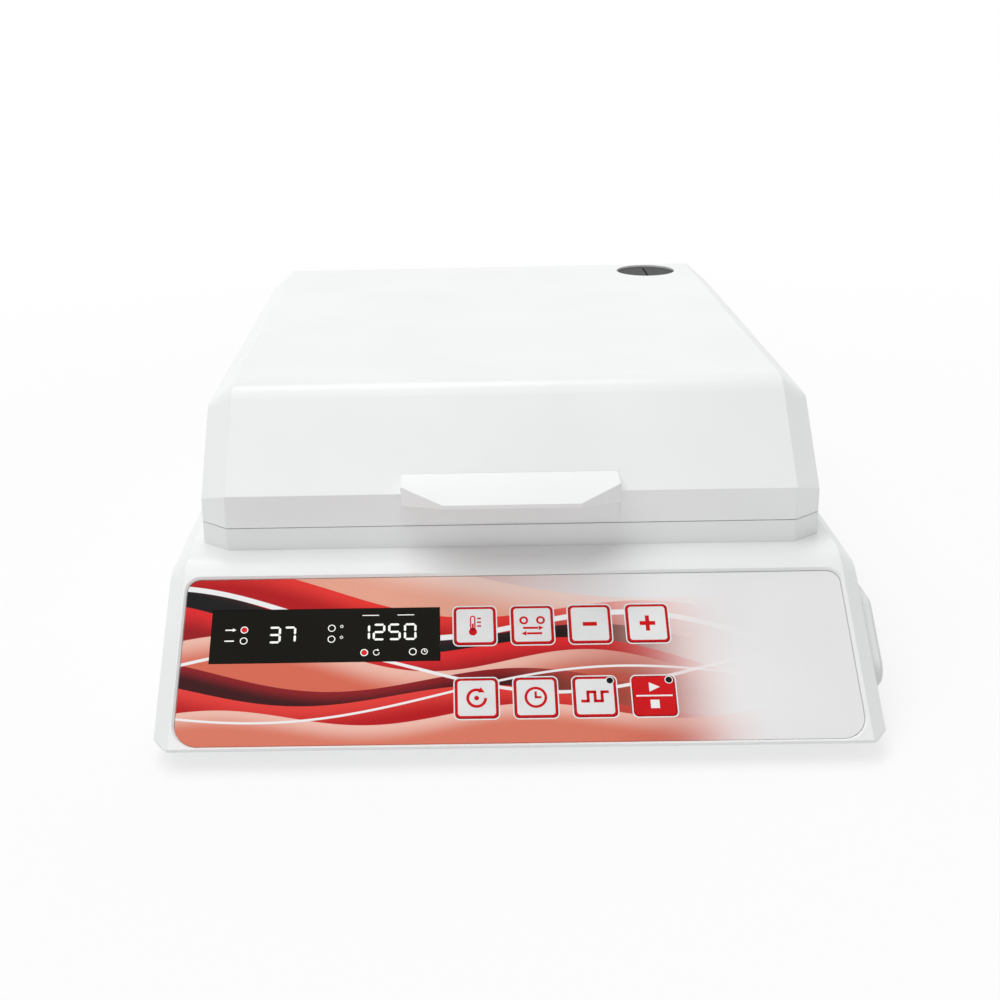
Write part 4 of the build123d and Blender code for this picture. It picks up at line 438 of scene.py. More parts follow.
def screen_ink(name, colour, shade, glow=0.0):
    """Screen ink; glow is for marks that are lit from behind."""
    coat = {"Roughness": 0.42, "IOR": 1.5, "Specular_IOR_Level": LOW_GLOSS}
    material, tree, shader = new_finish(name, colour, **coat)
    drift_shade(tree, shader, colour, shade, cells(tree, 3.0, 3.0))
    give_relief(tree, shader, cells(tree, 2.0), 0.003, 0.02)
    shader.inputs["Emission Color"].default_value = linear(colour)
    shader.inputs["Emission Strength"].default_value = glow
    return material


red_ink = screen_ink("screen_ink_red", "#D3141A", "#CB1117")
white_ink = screen_ink("screen_ink_white", "#F4F4F4", "#EFEFEF")
black_ink = screen_ink("screen_ink_black", "#101010", "#161616")
lit_white = screen_ink("lit_segment_white", "#F6F6F2", "#F1F1EC", 0.25)
lit_red = screen_ink("lit_lamp_red", "#E0262B", "#D82026", 0.2)
print("inks", len([material for material in bpy.data.materials if "ink" in material.name]))

# %% [markdown]
# ## The printed front
# The film under the keys carries a print of layered waves, like dunes: each layer is filled
# below a sine crest, is lighter along that crest, and thins out to plain pale grey towards the
# right. One loop lays them from back to front with a handful of math nodes for each, and a
# second one adds three thin white lines that swing in the same way.

# %% Wave print on the film
WAVES = (
    # height at the left mm, fall per mm, swing mm, wavelength mm, phase,
    # fades out from and to mm, colour at the crest and below it, depth of that change mm
    (80.0, 0.090, 6.5, 230.0, 0.3, 130.0, 220.0, "#F8D8CD", "#EBA790", 15.0),
    (69.0, 0.105, 7.0, 170.0, 1.0, 126.0, 206.0, "#E8352F", "#B50D15", 10.0),
    (58.5, 0.115, 7.5, 176.0, 1.9, 140.0, 198.0, "#2A1012", "#050404", 3.5),
    (51.0, 0.108, 7.2, 170.0, 2.1, 138.0, 212.0, "#E3272B", "#9A0C14", 11.0),
    (40.5, 0.062, 6.0, 132.0, 0.4, 122.0, 208.0, "#F4BFAE", "#DB6C55", 11.0),
    (29.5, 0.045, 6.0, 158.0, 2.6, 118.0, 190.0, "#8F1820", "#3A050A", 6.0),
    (22.0, 0.035, 5.0, 150.0, 2.9, 128.0, 206.0, "#E83F39", "#B90F17", 10.0),
    (10.5, -0.010, 3.6, 118.0, 0.9, 150.0, 225.0, "#F4C2B3", "#DF7D66", 8.0),
)
LINES = (
    # height mm, fall per mm, swing mm, wavelength mm, phase, width mm
    (57.0, 0.075, 8.0, 178.0, 1.7, 2.2),
    (31.0, 0.020, 8.5, 196.0, 0.2, 1.3),
    (14.0, -0.055, 7.0, 230.0, 3.6, 0.9),
)
LINES_FADE = (165.0, 228.0)
PRINT_GROUND, FILM_GREY, MIST_GREY, LINE_WHITE = "#E98A74", "#EBEBEC", "#F1F1F2", "#F5F5F5"
GROUND_FADE = (40.0, 180.0)
MIST_SIZE, MIST_SPAN = 70.0, (0.5, 0.8)
WAVE_EDGE, LINE_EDGE = 0.15, 0.1


def film_print():
    """Polyester film, printed on its back: even gloss over saturated inks."""
    coat = {"Roughness": 0.3, "IOR": 1.6, "Specular_IOR_Level": LOW_GLOSS}
    material, tree, shader = new_finish("printed_polyester_film", FILM_GREY, **coat)
    place = add_node(tree, "ShaderNodeTexCoord").outputs["Object"]

    def measure(direction, start):
        """Millimetres along a direction from a starting value."""
        pair = {0: place, 1: [part / MM for part in direction]}
        along = add_node(tree, "ShaderNodeVectorMath", pair, operation="DOT_PRODUCT").outputs["Value"]
        return add_node(tree, "ShaderNodeMath", {0: along, 1: start}, operation="SUBTRACT").outputs[0]

    across = measure((1, 0, 0), overlay[0])
    up_film = measure(UP, overlay[2])

    def depth_below(height, fall, amount, length, phase):
        """How far a point lies below a crest that falls and swings."""
        angle = {0: across, 1: 2 * pi / length, 2: phase}
        turn = add_node(tree, "ShaderNodeMath", angle, operation="MULTIPLY_ADD").outputs[0]
        wave = add_node(tree, "ShaderNodeMath", {0: turn}, operation="SINE").outputs[0]
        swung = {0: wave, 1: amount, 2: height}
        crest = add_node(tree, "ShaderNodeMath", swung, operation="MULTIPLY_ADD").outputs[0]
        fallen = {0: across, 1: -fall, 2: crest}
        tilted = add_node(tree, "ShaderNodeMath", fallen, operation="MULTIPLY_ADD").outputs[0]
        return add_node(tree, "ShaderNodeMath", {0: tilted, 1: up_film}, operation="SUBTRACT").outputs[0]

    def blend(under, over, value, start, end):
        """Turns one colour softly into another while value goes from start to end."""
        ends = {"Value": value, "From Min": start, "From Max": end}
        share = add_node(tree, "ShaderNodeMapRange", ends, interpolation_type="SMOOTHSTEP").outputs[0]
        return add_node(tree, "ShaderNodeMix", {0: share, 6: under, 7: over}, data_type="RGBA").outputs[2]

    def print_layer(under, ink, value, start, end, fade_from, fade_to):
        """Prints ink over a colour, crisp where value meets start and thinning out to the right."""
        kept = {"Value": across, "From Min": fade_to, "From Max": fade_from}
        left_share = add_node(tree, "ShaderNodeMapRange", kept, interpolation_type="SMOOTHSTEP").outputs[0]
        edge = {"Value": value, "From Min": start, "From Max": end, "To Max": left_share}
        share = add_node(tree, "ShaderNodeMapRange", edge).outputs[0]
        return add_node(tree, "ShaderNodeMix", {0: share, 6: under, 7: ink}, data_type="RGBA").outputs[2]

    colour = blend(linear(PRINT_GROUND), linear(FILM_GREY), across, *GROUND_FADE)
    patches = {"Vector": place, "Scale": 1 / (MIST_SIZE * MM), "Detail": 1.0}
    mist = add_node(tree, "ShaderNodeTexNoise", patches).outputs["Fac"]
    colour = blend(colour, linear(MIST_GREY), mist, *MIST_SPAN)
    for *course, fade_from, fade_to, crest, body, depth in WAVES:
        below = depth_below(*course)
        ink = blend(linear(crest), linear(body), below, 0.0, depth)
        colour = print_layer(colour, ink, below, 0.0, WAVE_EDGE, fade_from, fade_to)
    for *course, width in LINES:
        off = add_node(tree, "ShaderNodeMath", {0: depth_below(*course)}, operation="ABSOLUTE").outputs[0]
        rims = width / 2 + LINE_EDGE, width / 2 - LINE_EDGE
        colour = print_layer(colour, linear(LINE_WHITE), off, *rims, *LINES_FADE)
    tree.links.new(colour, shader.inputs["Base Color"])
    vary_gloss(tree, shader, coat["Roughness"], 0.04, cells(tree, 8.0, 3.0))
    give_relief(tree, shader, cells(tree, 9.0), 0.006, 0.1)
    return material


dress(film_print(), "control_overlay")

# %% [markdown]
# ## Keys and the tinted window
# Each key is a raised square of the same film, pale grey with a red frame; the start key is red
# all over. The frame runs down over the key's bevelled edge, so the film turns red wherever its
# surface tips away from the slope. The window is dark tinted acrylic, with only lamps and
# figures showing.

# %% Key and window finishes
# A surface is the key's edge where its normal leans further than this cosine from the slope's
EDGE_LEAN = 0.95
EDGE_RED = "#CE1319"


def key_film(name, colour, shade, edge):
    """Matt side of the key film, with its fine tooth, in another colour down its bevelled edge."""
    coat = {"Roughness": 0.4, "IOR": 1.6, "Specular_IOR_Level": LOW_GLOSS}
    material, tree, shader = new_finish(name, colour, **coat)
    drift_shade(tree, shader, colour, shade, cells(tree, 10.0))
    face_colour = shader.inputs["Base Color"].links[0].from_socket
    facing = {0: add_node(tree, "ShaderNodeNewGeometry").outputs["True Normal"], 1: OUT}
    level = add_node(tree, "ShaderNodeVectorMath", facing, operation="DOT_PRODUCT").outputs["Value"]
    tipped = add_node(tree, "ShaderNodeMath", {0: level, 1: EDGE_LEAN}, operation="LESS_THAN").outputs[0]
    painted = add_node(tree, "ShaderNodeMix", {0: tipped, 6: face_colour, 7: linear(edge)}, data_type="RGBA")
    tree.links.new(painted.outputs[2], shader.inputs["Base Color"])
    vary_gloss(tree, shader, coat["Roughness"], 0.05, cells(tree, 3.0, 3.0))
    give_relief(tree, shader, cells(tree, 3.0), 0.004, 0.2)
    return material


key_grey = key_film("key_film_pale_grey", "#EBECEC", "#E6E7E7", EDGE_RED)
key_red = key_film("key_film_red", "#D3161C", "#CB1218", EDGE_RED)
tinted_acrylic = moulded_plastic("tinted_acrylic", "#13120D", "#161510", 0.2, 30.0, 0.004, 0.15, ior=1.49)
acrylic_shader = tinted_acrylic.node_tree.nodes["Principled BSDF"]
acrylic_shader.inputs["Specular IOR Level"].default_value = LOW_GLOSS / 2
PLAIN_KEYS = ("temp", "units", "minus", "plus", "speed", "time", "pulse")
dress(key_grey, *[f"key_{name}" for name in PLAIN_KEYS])
dress(key_red, "key_start_stop")
dress(tinted_acrylic, "display_window")

# %% [markdown]
# ## Signs on the keys
# The signs say what each key does without a word: a thermometer, a pair of degree rings that
# change places, minus, plus, an orbit arrow, a clock, a square pulse, and play over stop.

# %% Draw the keys' signs
# The red frame's outer side and line width, with the radius of its outer and inner corners
KEY_FACE, RING_WIDTH = 15.1, 0.55
FRAME_CORNER, FRAME_INNER_CORNER = 1.5, 1.2
# The pale line round each key, as sides and corner radii of its two edges
HALO_OUTER, HALO_INNER = (17.1, 17.1, 2.3), (16.15, 16.15, 1.85)
# Lamps in the keys' corners: how far in, and the radii of the white rim and the dark middle
KEY_LAMP_IN, KEY_LAMP_DOWN, KEY_LAMP_RIM, KEY_LAMP_DOT = 2.0, 1.6, 1.55, 1.2


def arrow_head(x, y, angle, size):
    """Outline of a small arrow head that points along angle."""
    tips = ((size, 0.0), (-size * 0.5, size * 0.8), (-size * 0.5, -size * 0.8))
    return [(x + a * cos(angle) - b * sin(angle), y + a * sin(angle) + b * cos(angle)) for a, b in tips]


thermometer = [
    ring_points(-0.8, -2.6, 1.55),
    [rounded_box(-0.8, 1.0, 2.1, 6.4, 1.0), rounded_box(-0.8, 1.25, 1.1, 4.9, 0.5)],
    box(-0.8, -0.4, 0.7, 2.4),
] + [stroke((0.9, y), (2.4, y), 0.65) for y in (-0.2, 1.4, 3.0)]
degree_rings = [hoop(-3.2, 1.9, 1.3, 0.8), hoop(3.2, 1.9, 1.3, 0.8)]
degree_rings += [stroke((-3.6, -1.3), (2.2, -1.3), 0.85), arrow_head(3.0, -1.3, 0.0, 1.2)]
degree_rings += [stroke((-2.2, -3.6), (3.6, -3.6), 0.85), arrow_head(-3.0, -3.6, pi, 1.2)]
ORBIT_START, ORBIT_TURN, ORBIT_TIP = radians(70), radians(290), radians(-28)
orbit_arrow = [band(0, 0, 3.3, 1.1, ORBIT_START, ORBIT_TURN), arrow_head(1.7, 2.95, ORBIT_TIP, 1.5)]
orbit_arrow.append(ring_points(0, 0, 0.9))
clock = [hoop(0, 0, 3.7, 1.0), stroke((0, -0.4), (0, 2.3), 0.85), stroke((-0.4, 0), (2.1, 0), 0.85)]
PULSE_LINE, PULSE_STEP, PULSE_HALF = 1.1, 2.6, 1.8
levels = (-1, -1, 1, 1, -1, -1, 1, 1)
places = (-2, -1, -1, 0, 0, 1, 1, 2)
steps = [(PULSE_STEP * place, PULSE_HALF * level) for place, level in zip(places, levels)]
pulse = [stroke(start, end, PULSE_LINE) for start, end in zip(steps, steps[1:])]
pulse += [box(x, y, PULSE_LINE, PULSE_LINE) for x, y in steps[1:-1]]
play_and_stop = [box(0, 0, 13.4, 0.6), [(-1.7, 5.3), (-1.7, 1.6), (2.3, 3.45)], box(0, -3.3, 3.3, 3.3)]
SIGNS = {
    "temp": thermometer,
    "units": degree_rings,
    "minus": [box(0, 0, 5.4, 1.6)],
    "plus": [box(0, 0, 5.9, 1.6), box(0, 2.0, 1.5, 2.4), box(0, -2.0, 1.5, 2.4)],
    "speed": orbit_arrow,
    "time": clock,
    "pulse": pulse,
    "start_stop": play_and_stop,
}

# %% Print the keys
halos = []
FRAME_INNER = KEY_FACE - 2 * RING_WIDTH
frame_rim = rounded_box(0, 0, KEY_FACE, KEY_FACE, FRAME_CORNER)
frame_hole = rounded_box(0, 0, FRAME_INNER, FRAME_INNER, FRAME_INNER_CORNER)
key_frame = [[frame_rim, frame_hole]]
lamp_rim, lamp_dot = [ring_points(0, 0, KEY_LAMP_RIM)], [ring_points(0, 0, KEY_LAMP_DOT)]
for key, sign in SIGNS.items():
    body = f"key_{key}"
    left, right, foot, head, top = patch_on_slope(body)
    middle, centre = (left + right) / 2, (foot + head) / 2
    halos.append([rounded_box(middle, centre, *edge) for edge in (HALO_OUTER, HALO_INNER)])
    ink, slot = (white_ink, "key_white") if key == "start_stop" else (red_ink, "key_red")
    print_on_slope(f"sign_{key}", sign, middle, centre, top, ink, body, slot)
    if key != "start_stop":
        print_on_slope(f"frame_{key}", key_frame, middle, centre, top, red_ink, body, "key_red")
    if key in ("pulse", "start_stop"):
        lamp = right - KEY_LAMP_IN, head - KEY_LAMP_DOWN
        over_sign, over_rim = top + INK_LIFT, top + 2.5 * INK_LIFT
        print_on_slope(f"lamp_rim_{key}", lamp_rim, *lamp, over_sign, white_ink, body, "key_white")
        print_on_slope(f"lamp_{key}", lamp_dot, *lamp, over_rim, black_ink, body, "display_window")
print_on_slope("key_halos", halos, 0, 0, overlay[4], white_ink, "base", "key_white")
print("keys printed", len(SIGNS))

# %% [markdown]
# ## The display
# Two figures for the warmth and four for the speed, each of seven bars with cut ends, stand
# among small lamps. A lit lamp is a red dot in a white ring, an unlit one the bare ring.

# %% Figures and lamps
SEGMENTS = {"0": "abcdef", "1": "bc", "2": "abged", "3": "abgcd", "5": "afgcd", "7": "abc"}
BAR_GAP = 0.14
# Width, height and line of a figure, then the radii and lines of the lamps' rings
FIGURE_SIZE = (4.8, 7.0, 0.85)
LAMP_RING = (1.3, 0.35)
LIT_RADIUS = 1.0
# Places in the window, each told as how far right and how far down, in millimetres
WARMTH_DOWN, SPEED_DOWN = 10.8, 10.2
WARMTH = (("3", 24.4), ("7", 30.2))
SPEED = (("1", 58.5), ("2", 64.3), ("5", 70.2), ("0", 76.2))
WARMTH_LAMP, SPEED_LAMP = (12.7, 8.5), (58.8, 18.7)
UNLIT_LAMPS = ((12.7, 13.1), (46.2, 8.3), (46.2, 12.9), (77.2, 18.6))
# Small signs beside the lamps: two dashes, one with an arrow head, degree signs, clock and orbit
DASHES_DOWN, DASH_LEFT, DASH_RIGHT, DASH_LINE = (8.5, 13.1), 5.4, 9.0, 0.5
ARROW, ARROW_SIZE = (8.7, 8.5), 0.9
DEGREE_SIGNS = ((50.0, 7.6), (50.0, 12.2))
SMALL_CLOCK, SMALL_ORBIT, SMALL_RADIUS, SMALL_LINE = (81.6, 18.6), (63.4, 18.7), 1.1, 0.3
# Two short rules above the speed's figures
RULES, RULE_HALF, RULE_DOWN, RULE_LINE = (61.0, 74.5), 3.2, 3.1, 0.35


def bar_outline(start, end, width):
    """A display bar: a stroke with pointed ends."""
    lay = atan2(end[1] - start[1], end[0] - start[0])
    ahead, aside = (cos(lay), sin(lay)), (-sin(lay), cos(lay))
    half = width / 2
    spots = [(start, 0, 0), (start, half, half), (end, -half, half)]
    spots += [(end, 0, 0), (end, -half, -half), (start, half, -half)]
    return [(p[0] + ahead[0] * f + aside[0] * s, p[1] + ahead[1] * f + aside[1] * s) for p, f, s in spots]


def figure(digit, x, y, width, height, line):
    """Bars of one digit; x, y is the middle of its box."""
    w, h, gap = (width - line) / 2, (height - line) / 2, BAR_GAP
    ends = {
        "a": ((-w + gap, h), (w - gap, h)),
        "b": ((w, gap), (w, h - gap)),
        "c": ((w, -h + gap), (w, -gap)),
        "d": ((-w + gap, -h), (w - gap, -h)),
        "e": ((-w, -h + gap), (-w, -gap)),
        "f": ((-w, gap), (-w, h - gap)),
        "g": ((-w + gap, 0.0), (w - gap, 0.0)),
    }
    bars = [ends[name] for name in SEGMENTS[digit]]
    return [bar_outline((x + a, y + b), (x + c, y + d), line) for (a, b), (c, d) in bars]


def in_window(x, down):
    """A place told from the window's left edge and top edge."""
    return window[0] + x, window[3] - down


marks = []
for digit, x in WARMTH:
    marks += figure(digit, *in_window(x, WARMTH_DOWN), *FIGURE_SIZE)
for digit, x in SPEED:
    marks += figure(digit, *in_window(x, SPEED_DOWN), *FIGURE_SIZE)
for place in (WARMTH_LAMP, SPEED_LAMP, *UNLIT_LAMPS):
    marks.append(hoop(*in_window(*place), *LAMP_RING))
for down in DASHES_DOWN:
    marks.append(stroke(in_window(DASH_LEFT, down), in_window(DASH_RIGHT, down), DASH_LINE))
marks.append(arrow_head(*in_window(*ARROW), 0.0, ARROW_SIZE))
for place in DEGREE_SIGNS:
    marks.append(hoop(*in_window(*place), 0.5, 0.25))
clock_x, clock_y = in_window(*SMALL_CLOCK)
marks.append(hoop(clock_x, clock_y, SMALL_RADIUS, SMALL_LINE))
for hand in ((clock_x, clock_y + 0.8), (clock_x + 0.6, clock_y)):
    marks.append(stroke((clock_x, clock_y), hand, SMALL_LINE))
turn_x, turn_y = in_window(*SMALL_ORBIT)
marks.append(band(turn_x, turn_y, SMALL_RADIUS, SMALL_LINE, ORBIT_START, ORBIT_TURN))
marks.append(arrow_head(turn_x + 0.55, turn_y + 0.95, ORBIT_TIP, 0.6))
for x in RULES:
    marks.append(stroke(in_window(x - RULE_HALF, RULE_DOWN), in_window(x + RULE_HALF, RULE_DOWN), RULE_LINE))
print_on_slope("display_marks", marks, 0, 0, window[4], lit_white, "base", "key_white")
lamps = [ring_points(*in_window(*place), LIT_RADIUS) for place in (WARMTH_LAMP, SPEED_LAMP)]
print_on_slope("display_lamps", lamps, 0, 0, window[4], lit_red, "base", "key_red")
print("display marks", len(marks))

# %% [markdown]
# ## Screws
# A button head screw is a low dome with a hexagon socket. It is built ring by ring: the dome's
# rings are circles, the socket's are hexagons with the same number of points, so that quads
# join them all. One mesh holds every screw of a kind on a body.

# %% Screws
POINTS = 36
SHARP_ANGLE = radians(35)


def screw_mesh(name, radius, height, socket, places, facing):
    """Button head screws at places in millimetres, all facing one way."""
    hexagon = [cos(pi / 6) / cos((2 * pi * step / POINTS) % (pi / 3) - pi / 6) for step in range(POINTS)]
    round_ring = [1.0] * POINTS
    rings = (
        (radius, 0.0, round_ring),
        (radius, 0.3 * height, round_ring),
        (0.93 * radius, 0.62 * height, round_ring),
        (0.76 * radius, 0.88 * height, round_ring),
        (0.6 * radius, height, round_ring),
        (socket, height, hexagon),
        (socket, 0.35 * height, hexagon),
    )
    turn = Vector((0, 0, 1)).rotation_difference(Vector(facing)).to_matrix().to_4x4()
    made = bmesh.new()
    for place in places:
        move = Matrix.Translation(Vector(place) * MM) @ turn @ Matrix.Scale(MM, 4)
        loops = []
        for size, level, form in rings:
            loop = []
            for i in range(POINTS):
                reach, angle = size * form[i], 2 * pi * i / POINTS
                loop.append(made.verts.new(move @ Vector((reach * cos(angle), reach * sin(angle), level))))
            loops.append(loop)
        for low, high in zip(loops, loops[1:]):
            for i in range(POINTS):
                made.faces.new((low[i], low[i - POINTS + 1], high[i - POINTS + 1], high[i]))
        made.faces.new(loops[-1])
        made.faces.new(loops[0][::-1])
    for face in made.faces:
        face.smooth = len(face.verts) == 4
    mesh = bpy.data.meshes.new(name)
    made.to_mesh(mesh)
    made.free()
    mesh.set_sharp_from_angle(angle=SHARP_ANGLE)
    return mesh


def add_screws(name, radius, height, socket, places, facing, body):
    """Steel screws that ride on a body."""
    mesh = screw_mesh(name, radius, height, socket, places, facing)
    add_piece(name, mesh, ground_steel, body)
    print(name, len(places))


def in_mm(name):
    """A node's box in millimetres: lowest and highest corner."""
    low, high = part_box(name)
    return [value / MM for value in low], [value / MM for value in high]


# %% [markdown]
# ## Where the screws go
# Two hold each hinge bracket to the deck, four each hinge leaf to the lid, four the fan, two
# the inlet, and six the base plate. Their places are told from the box of the part that they
# fasten. The hinge leaves lie on the lid's back, so their depth is told from the lid's box.

# %% Set the screws
# Radius and height of each head and radius of its socket, in millimetres
BRACKET_SCREW, LEAF_SCREW, FAN_SCREW = (2.5, 1.5, 1.2), (2.2, 1.3, 1.1), (2.4, 1.3, 1.1)
INLET_SCREW, PLATE_SCREW = (1.45, 0.8, 0.7), (2.8, 1.5, 1.3)

low, high = in_mm("hinge_brackets")
BRACKET_INSETS, BRACKET_FOOT = (3.3, 32.7), 3.0
bracket_y = (low[1] + high[1]) / 2
bracket_x = [side * (high[0] - inset) for side in (-1, 1) for inset in BRACKET_INSETS]
bracket_places = [(x, bracket_y, low[2] + BRACKET_FOOT) for x in bracket_x]
add_screws("bracket_screws", *BRACKET_SCREW, bracket_places, (0, 0, 1), "base")

low, high = in_mm("hinge_arms")
LEAF_INSETS, LEAF_DROPS, LEAF_THICKNESS = (3.8, 26.2), (5.0, 16.0), 2.5
leaf_x = [side * (high[0] - inset) for side in (-1, 1) for inset in LEAF_INSETS]
leaf_z = [high[2] - drop for drop in LEAF_DROPS]
leaf_y = in_mm("lid_shell")[1][1] + LEAF_THICKNESS
add_screws("leaf_screws", *LEAF_SCREW, [(x, leaf_y, z) for x in leaf_x for z in leaf_z], (0, 1, 0), "lid")

low, high = in_mm("cooling_fan_frame")
FAN_HOLE, GRILLE_THICKNESS = 14.5, 1.5
fan_x, fan_z = (low[0] + high[0]) / 2, (low[2] + high[2]) / 2
corners = [(i * FAN_HOLE, k * FAN_HOLE) for i in (-1, 1) for k in (-1, 1)]
fan_places = [(fan_x + across, high[1] + GRILLE_THICKNESS, fan_z + rise) for across, rise in corners]
add_screws("fan_screws", *FAN_SCREW, fan_places, (0, 1, 0), "base")

low, high = in_mm("mains_inlet")
INLET_HOLE, INLET_SINK = 20.0, 1.0
inlet_x, inlet_z = (low[0] + high[0]) / 2, (low[2] + high[2]) / 2
inlet_places = [(inlet_x + side * INLET_HOLE, high[1] - INLET_SINK, inlet_z) for side in (-1, 1)]
add_screws("inlet_screws", *INLET_SCREW, inlet_places, (0, 1, 0), "base")

low, high = in_mm("base_plate")
PLATE_INSET, PLATE_FRONT, PLATE_MIDDLE, PLATE_REAR = 4.4, 43.0, 209.25, 14.0
rows = (low[1] + PLATE_FRONT, low[1] + PLATE_MIDDLE, high[1] - PLATE_REAR)
plate_places = [(side * (high[0] - PLATE_INSET), y, low[2]) for side in (-1, 1) for y in rows]
add_screws("base_plate_screws", *PLATE_SCREW, plate_places, (0, 0, -1), "base")

# %% [markdown]
# ## Ribs on the mats
# The mats grip the plates with low half-round ribs. They are real ridges, three millimetres
# apart, so they show at the edge of the mat too, where a bump in the finish would stay flat.

# %% Mat ribs
RIB_PITCH, RIB_WIDTH, RIB_HEIGHT, RIB_MARGIN = 3.0, 1.3, 0.4, 3.0
RIB_FACES = 6
MAT_GAP = 3.6
low, high = in_mm("plate_mats")
mat_width, mat_length = (high[0] - low[0] - MAT_GAP) / 2, (high[1] - low[1] - MAT_GAP) / 2
angles = [pi * step / RIB_FACES for step in range(RIB_FACES + 1)]
profile = [(-RIB_WIDTH / 2 * cos(angle), RIB_HEIGHT * sin(angle)) for angle in angles]
ribs = bmesh.new()
for left in (low[0], low[0] + mat_width + MAT_GAP):
    for front in (low[1], low[1] + mat_length + MAT_GAP):
        count = int((mat_width - 2 * RIB_MARGIN) / RIB_PITCH) + 1
        first = left + (mat_width - (count - 1) * RIB_PITCH) / 2
        for rib in range(count):
            x = first + rib * RIB_PITCH
            ends = []
            for y in (front + RIB_MARGIN, front + mat_length - RIB_MARGIN):
                spots = [Vector((x + aside, y, high[2] + rise)) * MM for aside, rise in profile]
                ends.append([ribs.verts.new(spot) for spot in spots])
            near, away = ends
            for i in range(RIB_FACES):
                ribs.faces.new((near[i], near[i + 1], away[i + 1], away[i])).smooth = True
            ribs.faces.new((near[-1], near[0], away[0], away[-1]))
            ribs.faces.new(near[::-1])
            ribs.faces.new(away)
rib_mesh = bpy.data.meshes.new("mat_ribs")
bmesh.ops.recalc_face_normals(ribs, faces=ribs.faces)
ribs.to_mesh(rib_mesh)
ribs.free()
add_piece("mat_ribs", rib_mesh, mat_rubber, "platform")
print("mat", round(mat_width, 2), "by", round(mat_length, 2), "ribs on each", count)

# %% [markdown]
# ## Marks on the rocker
# The international signs, a bar for on and a ring for off, are pad printed on the rocker's two
# halves. The upper half leans in while the switch is off, so its ring is tipped with it.

# %% Rocker marks
low, high = in_mm("power_rocker")
rocker_x = (low[0] + high[0]) / 2
# Heights of the two marks, the upper half's depth at its mark, and how far that half leans
ON_Z, OFF_Z, OFF_Y, LEAN = 26.0, 34.8, 197.74, atan2(2.40, 8.45)
for name, marks, place, lean in (
    ("rocker_on_mark", [box(0, 0, 0.8, 4.2)], (rocker_x, high[1], ON_Z), 0.0),
    ("rocker_off_mark", [hoop(0, 0, 1.7, 0.7)], (rocker_x, OFF_Y, OFF_Z), LEAN),
):
    mesh = mark_mesh(name, marks)
    seat = Matrix.Translation(Vector(place) * MM) @ Matrix.Rotation(-pi / 2 + lean, 4, "X")
    mesh.transform(seat @ Matrix.Scale(MM, 4) @ Matrix.Translation((0, 0, INK_LIFT)))
    add_piece(name, mesh, white_ink, "rocker")
print("rocker marks at x", round(rocker_x, 1))

# %% [markdown]
# ## Studio
# A product picture of a white thing on white needs broad light. A bright overcast world fills
# every side, and a sun lamp with a very wide disc, a little to the left, gives the slopes their
# different greys and a soft shadow under the handle. A weaker, tighter one from behind draws the
# bright line along the lid's round ridge. The background is white by its colour for
# camera, mirror and glass rays alone, so it adds no light. The floor keeps a soft shadow near
# the machine and turns fully white further off.

# %% World, lights and floor
WORLD_LEVEL = 0.52
SUN_LEVEL, SUN_DISC, TOWARDS_SUN = 1.2, 50.0, (-0.32, -0.08, 0.94)
RIM_LEVEL, RIM_DISC, TOWARDS_RIM = 0.42, 18.0, (-0.05, 0.47, 0.88)
WHITE = (1, 1, 1, 1)
# Half the floor's side in metres, and where its own white starts and ends with which share
FLOOR = 4.0
WHITE_FROM, WHITE_TO, LEAST_WHITE, FULL_WHITE = 0.25, 0.9, 0.72, 1.0


def background_rays(tree):
    """1 for the rays that see the background itself, 0 for those that gather its light."""
    path = add_node(tree, "ShaderNodeLightPath")
    seen = path.outputs["Is Camera Ray"]
    for kind in ("Is Glossy Ray", "Is Transmission Ray"):
        either = {0: seen, 1: path.outputs[kind]}
        seen = add_node(tree, "ShaderNodeMath", either, operation="MAXIMUM").outputs[0]
    return seen


def set_world():
    """White behind the object, a softer level for its light."""
    world = bpy.data.worlds.new("overcast_studio")
    scene.world = world
    world.use_nodes = True
    tree = world.node_tree
    tree.nodes.clear()
    light = add_node(tree, "ShaderNodeBackground", {"Color": WHITE, "Strength": WORLD_LEVEL})
    white = add_node(tree, "ShaderNodeBackground", {"Color": WHITE, "Strength": 1.0})
    layers = {0: background_rays(tree), 1: light.outputs[0], 2: white.outputs[0]}
    add_node(tree, "ShaderNodeOutputWorld", {0: add_node(tree, "ShaderNodeMixShader", layers).outputs[0]})


def soft_sun(name, towards, strength, disc):
    """A sun lamp whose wide disc softens every shadow."""
    lamp = bpy.data.lights.new(name, "SUN")
    lamp.energy, lamp.angle = strength, radians(disc)
    stand = bpy.data.objects.new(name, lamp)
    stand.rotation_mode = "QUATERNION"
    stand.rotation_quaternion = Vector(towards).to_track_quat("Z", "Y")
    scene.collection.objects.link(stand)


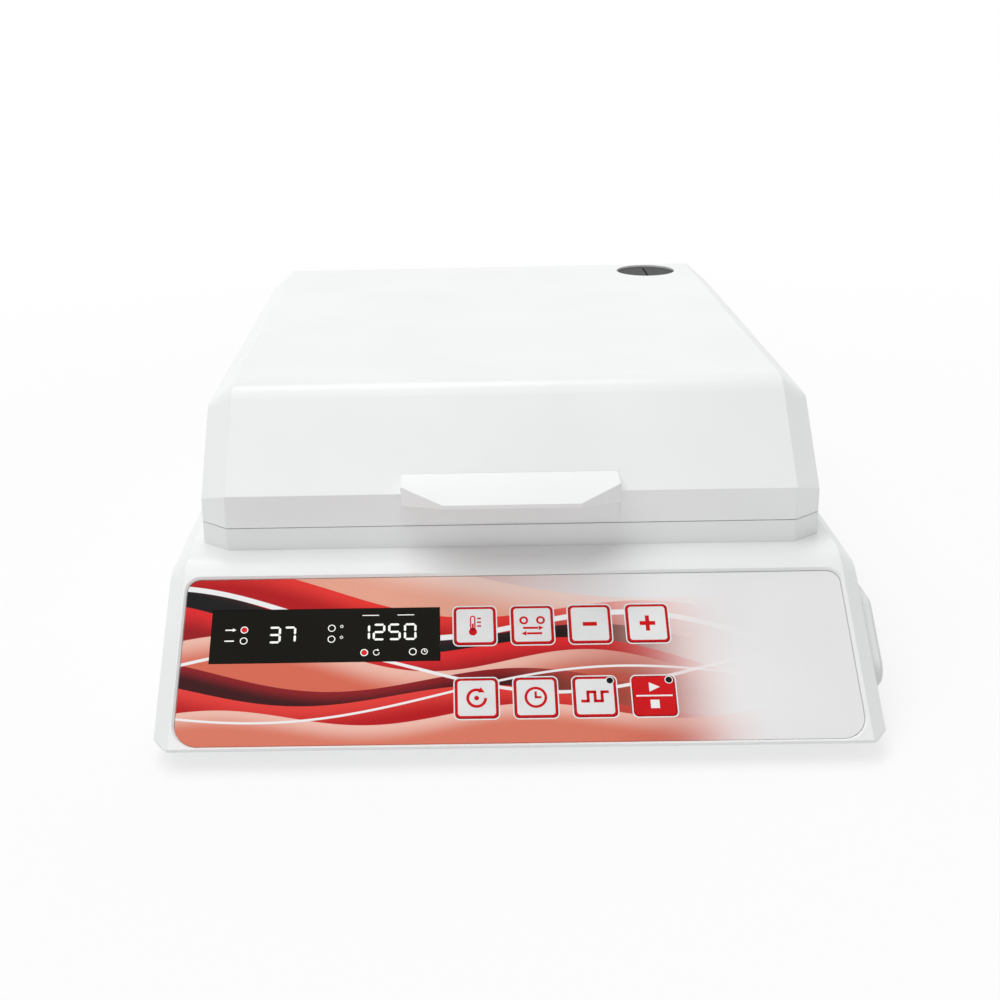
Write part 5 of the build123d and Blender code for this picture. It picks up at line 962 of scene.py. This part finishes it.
def floor_finish():
    """White paper sweep: full white to the eye far off, with the object's shadow kept."""
    material, tree, shader = new_finish("white_paper_sweep", "#F6F6F6", Roughness=0.9)
    drift_shade(tree, shader, "#F6F6F6", "#F4F4F4", cells(tree, 2.0, 3.0))
    place = add_node(tree, "ShaderNodeTexCoord").outputs["Object"]
    away = add_node(tree, "ShaderNodeVectorMath", {0: place}, operation="LENGTH").outputs["Value"]
    ends = {"Value": away, "From Min": WHITE_FROM, "From Max": WHITE_TO}
    ends.update({"To Min": LEAST_WHITE, "To Max": FULL_WHITE})
    white_share = add_node(tree, "ShaderNodeMapRange", ends).outputs[0]
    glow = add_node(tree, "ShaderNodeEmission", {"Color": WHITE, "Strength": 1.0})
    share = add_node(tree, "ShaderNodeMath", {0: background_rays(tree), 1: white_share}, operation="MULTIPLY")
    layers = {0: share.outputs[0], 1: shader.outputs[0], 2: glow.outputs[0]}
    mixed = add_node(tree, "ShaderNodeMixShader", layers)
    tree.links.new(mixed.outputs[0], tree.nodes["Material Output"].inputs["Surface"])
    return material


set_world()
soft_sun("wide_sun", TOWARDS_SUN, SUN_LEVEL, SUN_DISC)
soft_sun("rim_sun", TOWARDS_RIM, RIM_LEVEL, RIM_DISC)
floor_mesh = bpy.data.meshes.new("studio_floor")
corners = [(-FLOOR, -FLOOR, 0.0), (FLOOR, -FLOOR, 0.0), (FLOOR, FLOOR, 0.0), (-FLOOR, FLOOR, 0.0)]
floor_mesh.from_pydata(corners, [], [(0, 1, 2, 3)])
floor_mesh.materials.append(floor_finish())
floor = bpy.data.objects.new("studio_floor", floor_mesh)
scene.collection.objects.link(floor)
scene.view_settings.view_transform = "Standard"
print("world level", WORLD_LEVEL, "sun level", SUN_LEVEL)

# %% [markdown]
# ## Camera
# The camera stands about half a metre in front of the machine and looks down on it at 17
# degrees, a touch from the left and a touch tilted. Its sensor is shifted a little, so that the
# machine has the same place in the frame and the same perspective as in the photograph.

# %% Camera
CAMERA_PLACE = (-0.02111, -0.66902, 0.2721)
camera_data = bpy.data.cameras.new("camera")
camera_data.lens, camera_data.sensor_width = 52.2, 36.0
camera_data.shift_x, camera_data.shift_y = 0.07, -0.06
camera_data.clip_start, camera_data.clip_end = 0.01, 50.0
yaw, pitch, roll = radians(-1.06), radians(17.35), radians(-1.32)
forward = Vector((sin(yaw) * cos(pitch), cos(yaw) * cos(pitch), -sin(pitch)))
level_right = Vector((cos(yaw), -sin(yaw), 0.0))
level_up = level_right.cross(forward)
right = level_right * cos(roll) + level_up * sin(roll)
up = level_up * cos(roll) - level_right * sin(roll)
camera = bpy.data.objects.new("camera", camera_data)
turned = Matrix((right, up, -forward)).transposed().to_4x4()
camera.matrix_world = Matrix.Translation(CAMERA_PLACE) @ turned
scene.collection.objects.link(camera)
scene.camera = camera
print("camera at", [round(value, 4) for value in camera.matrix_world.translation])
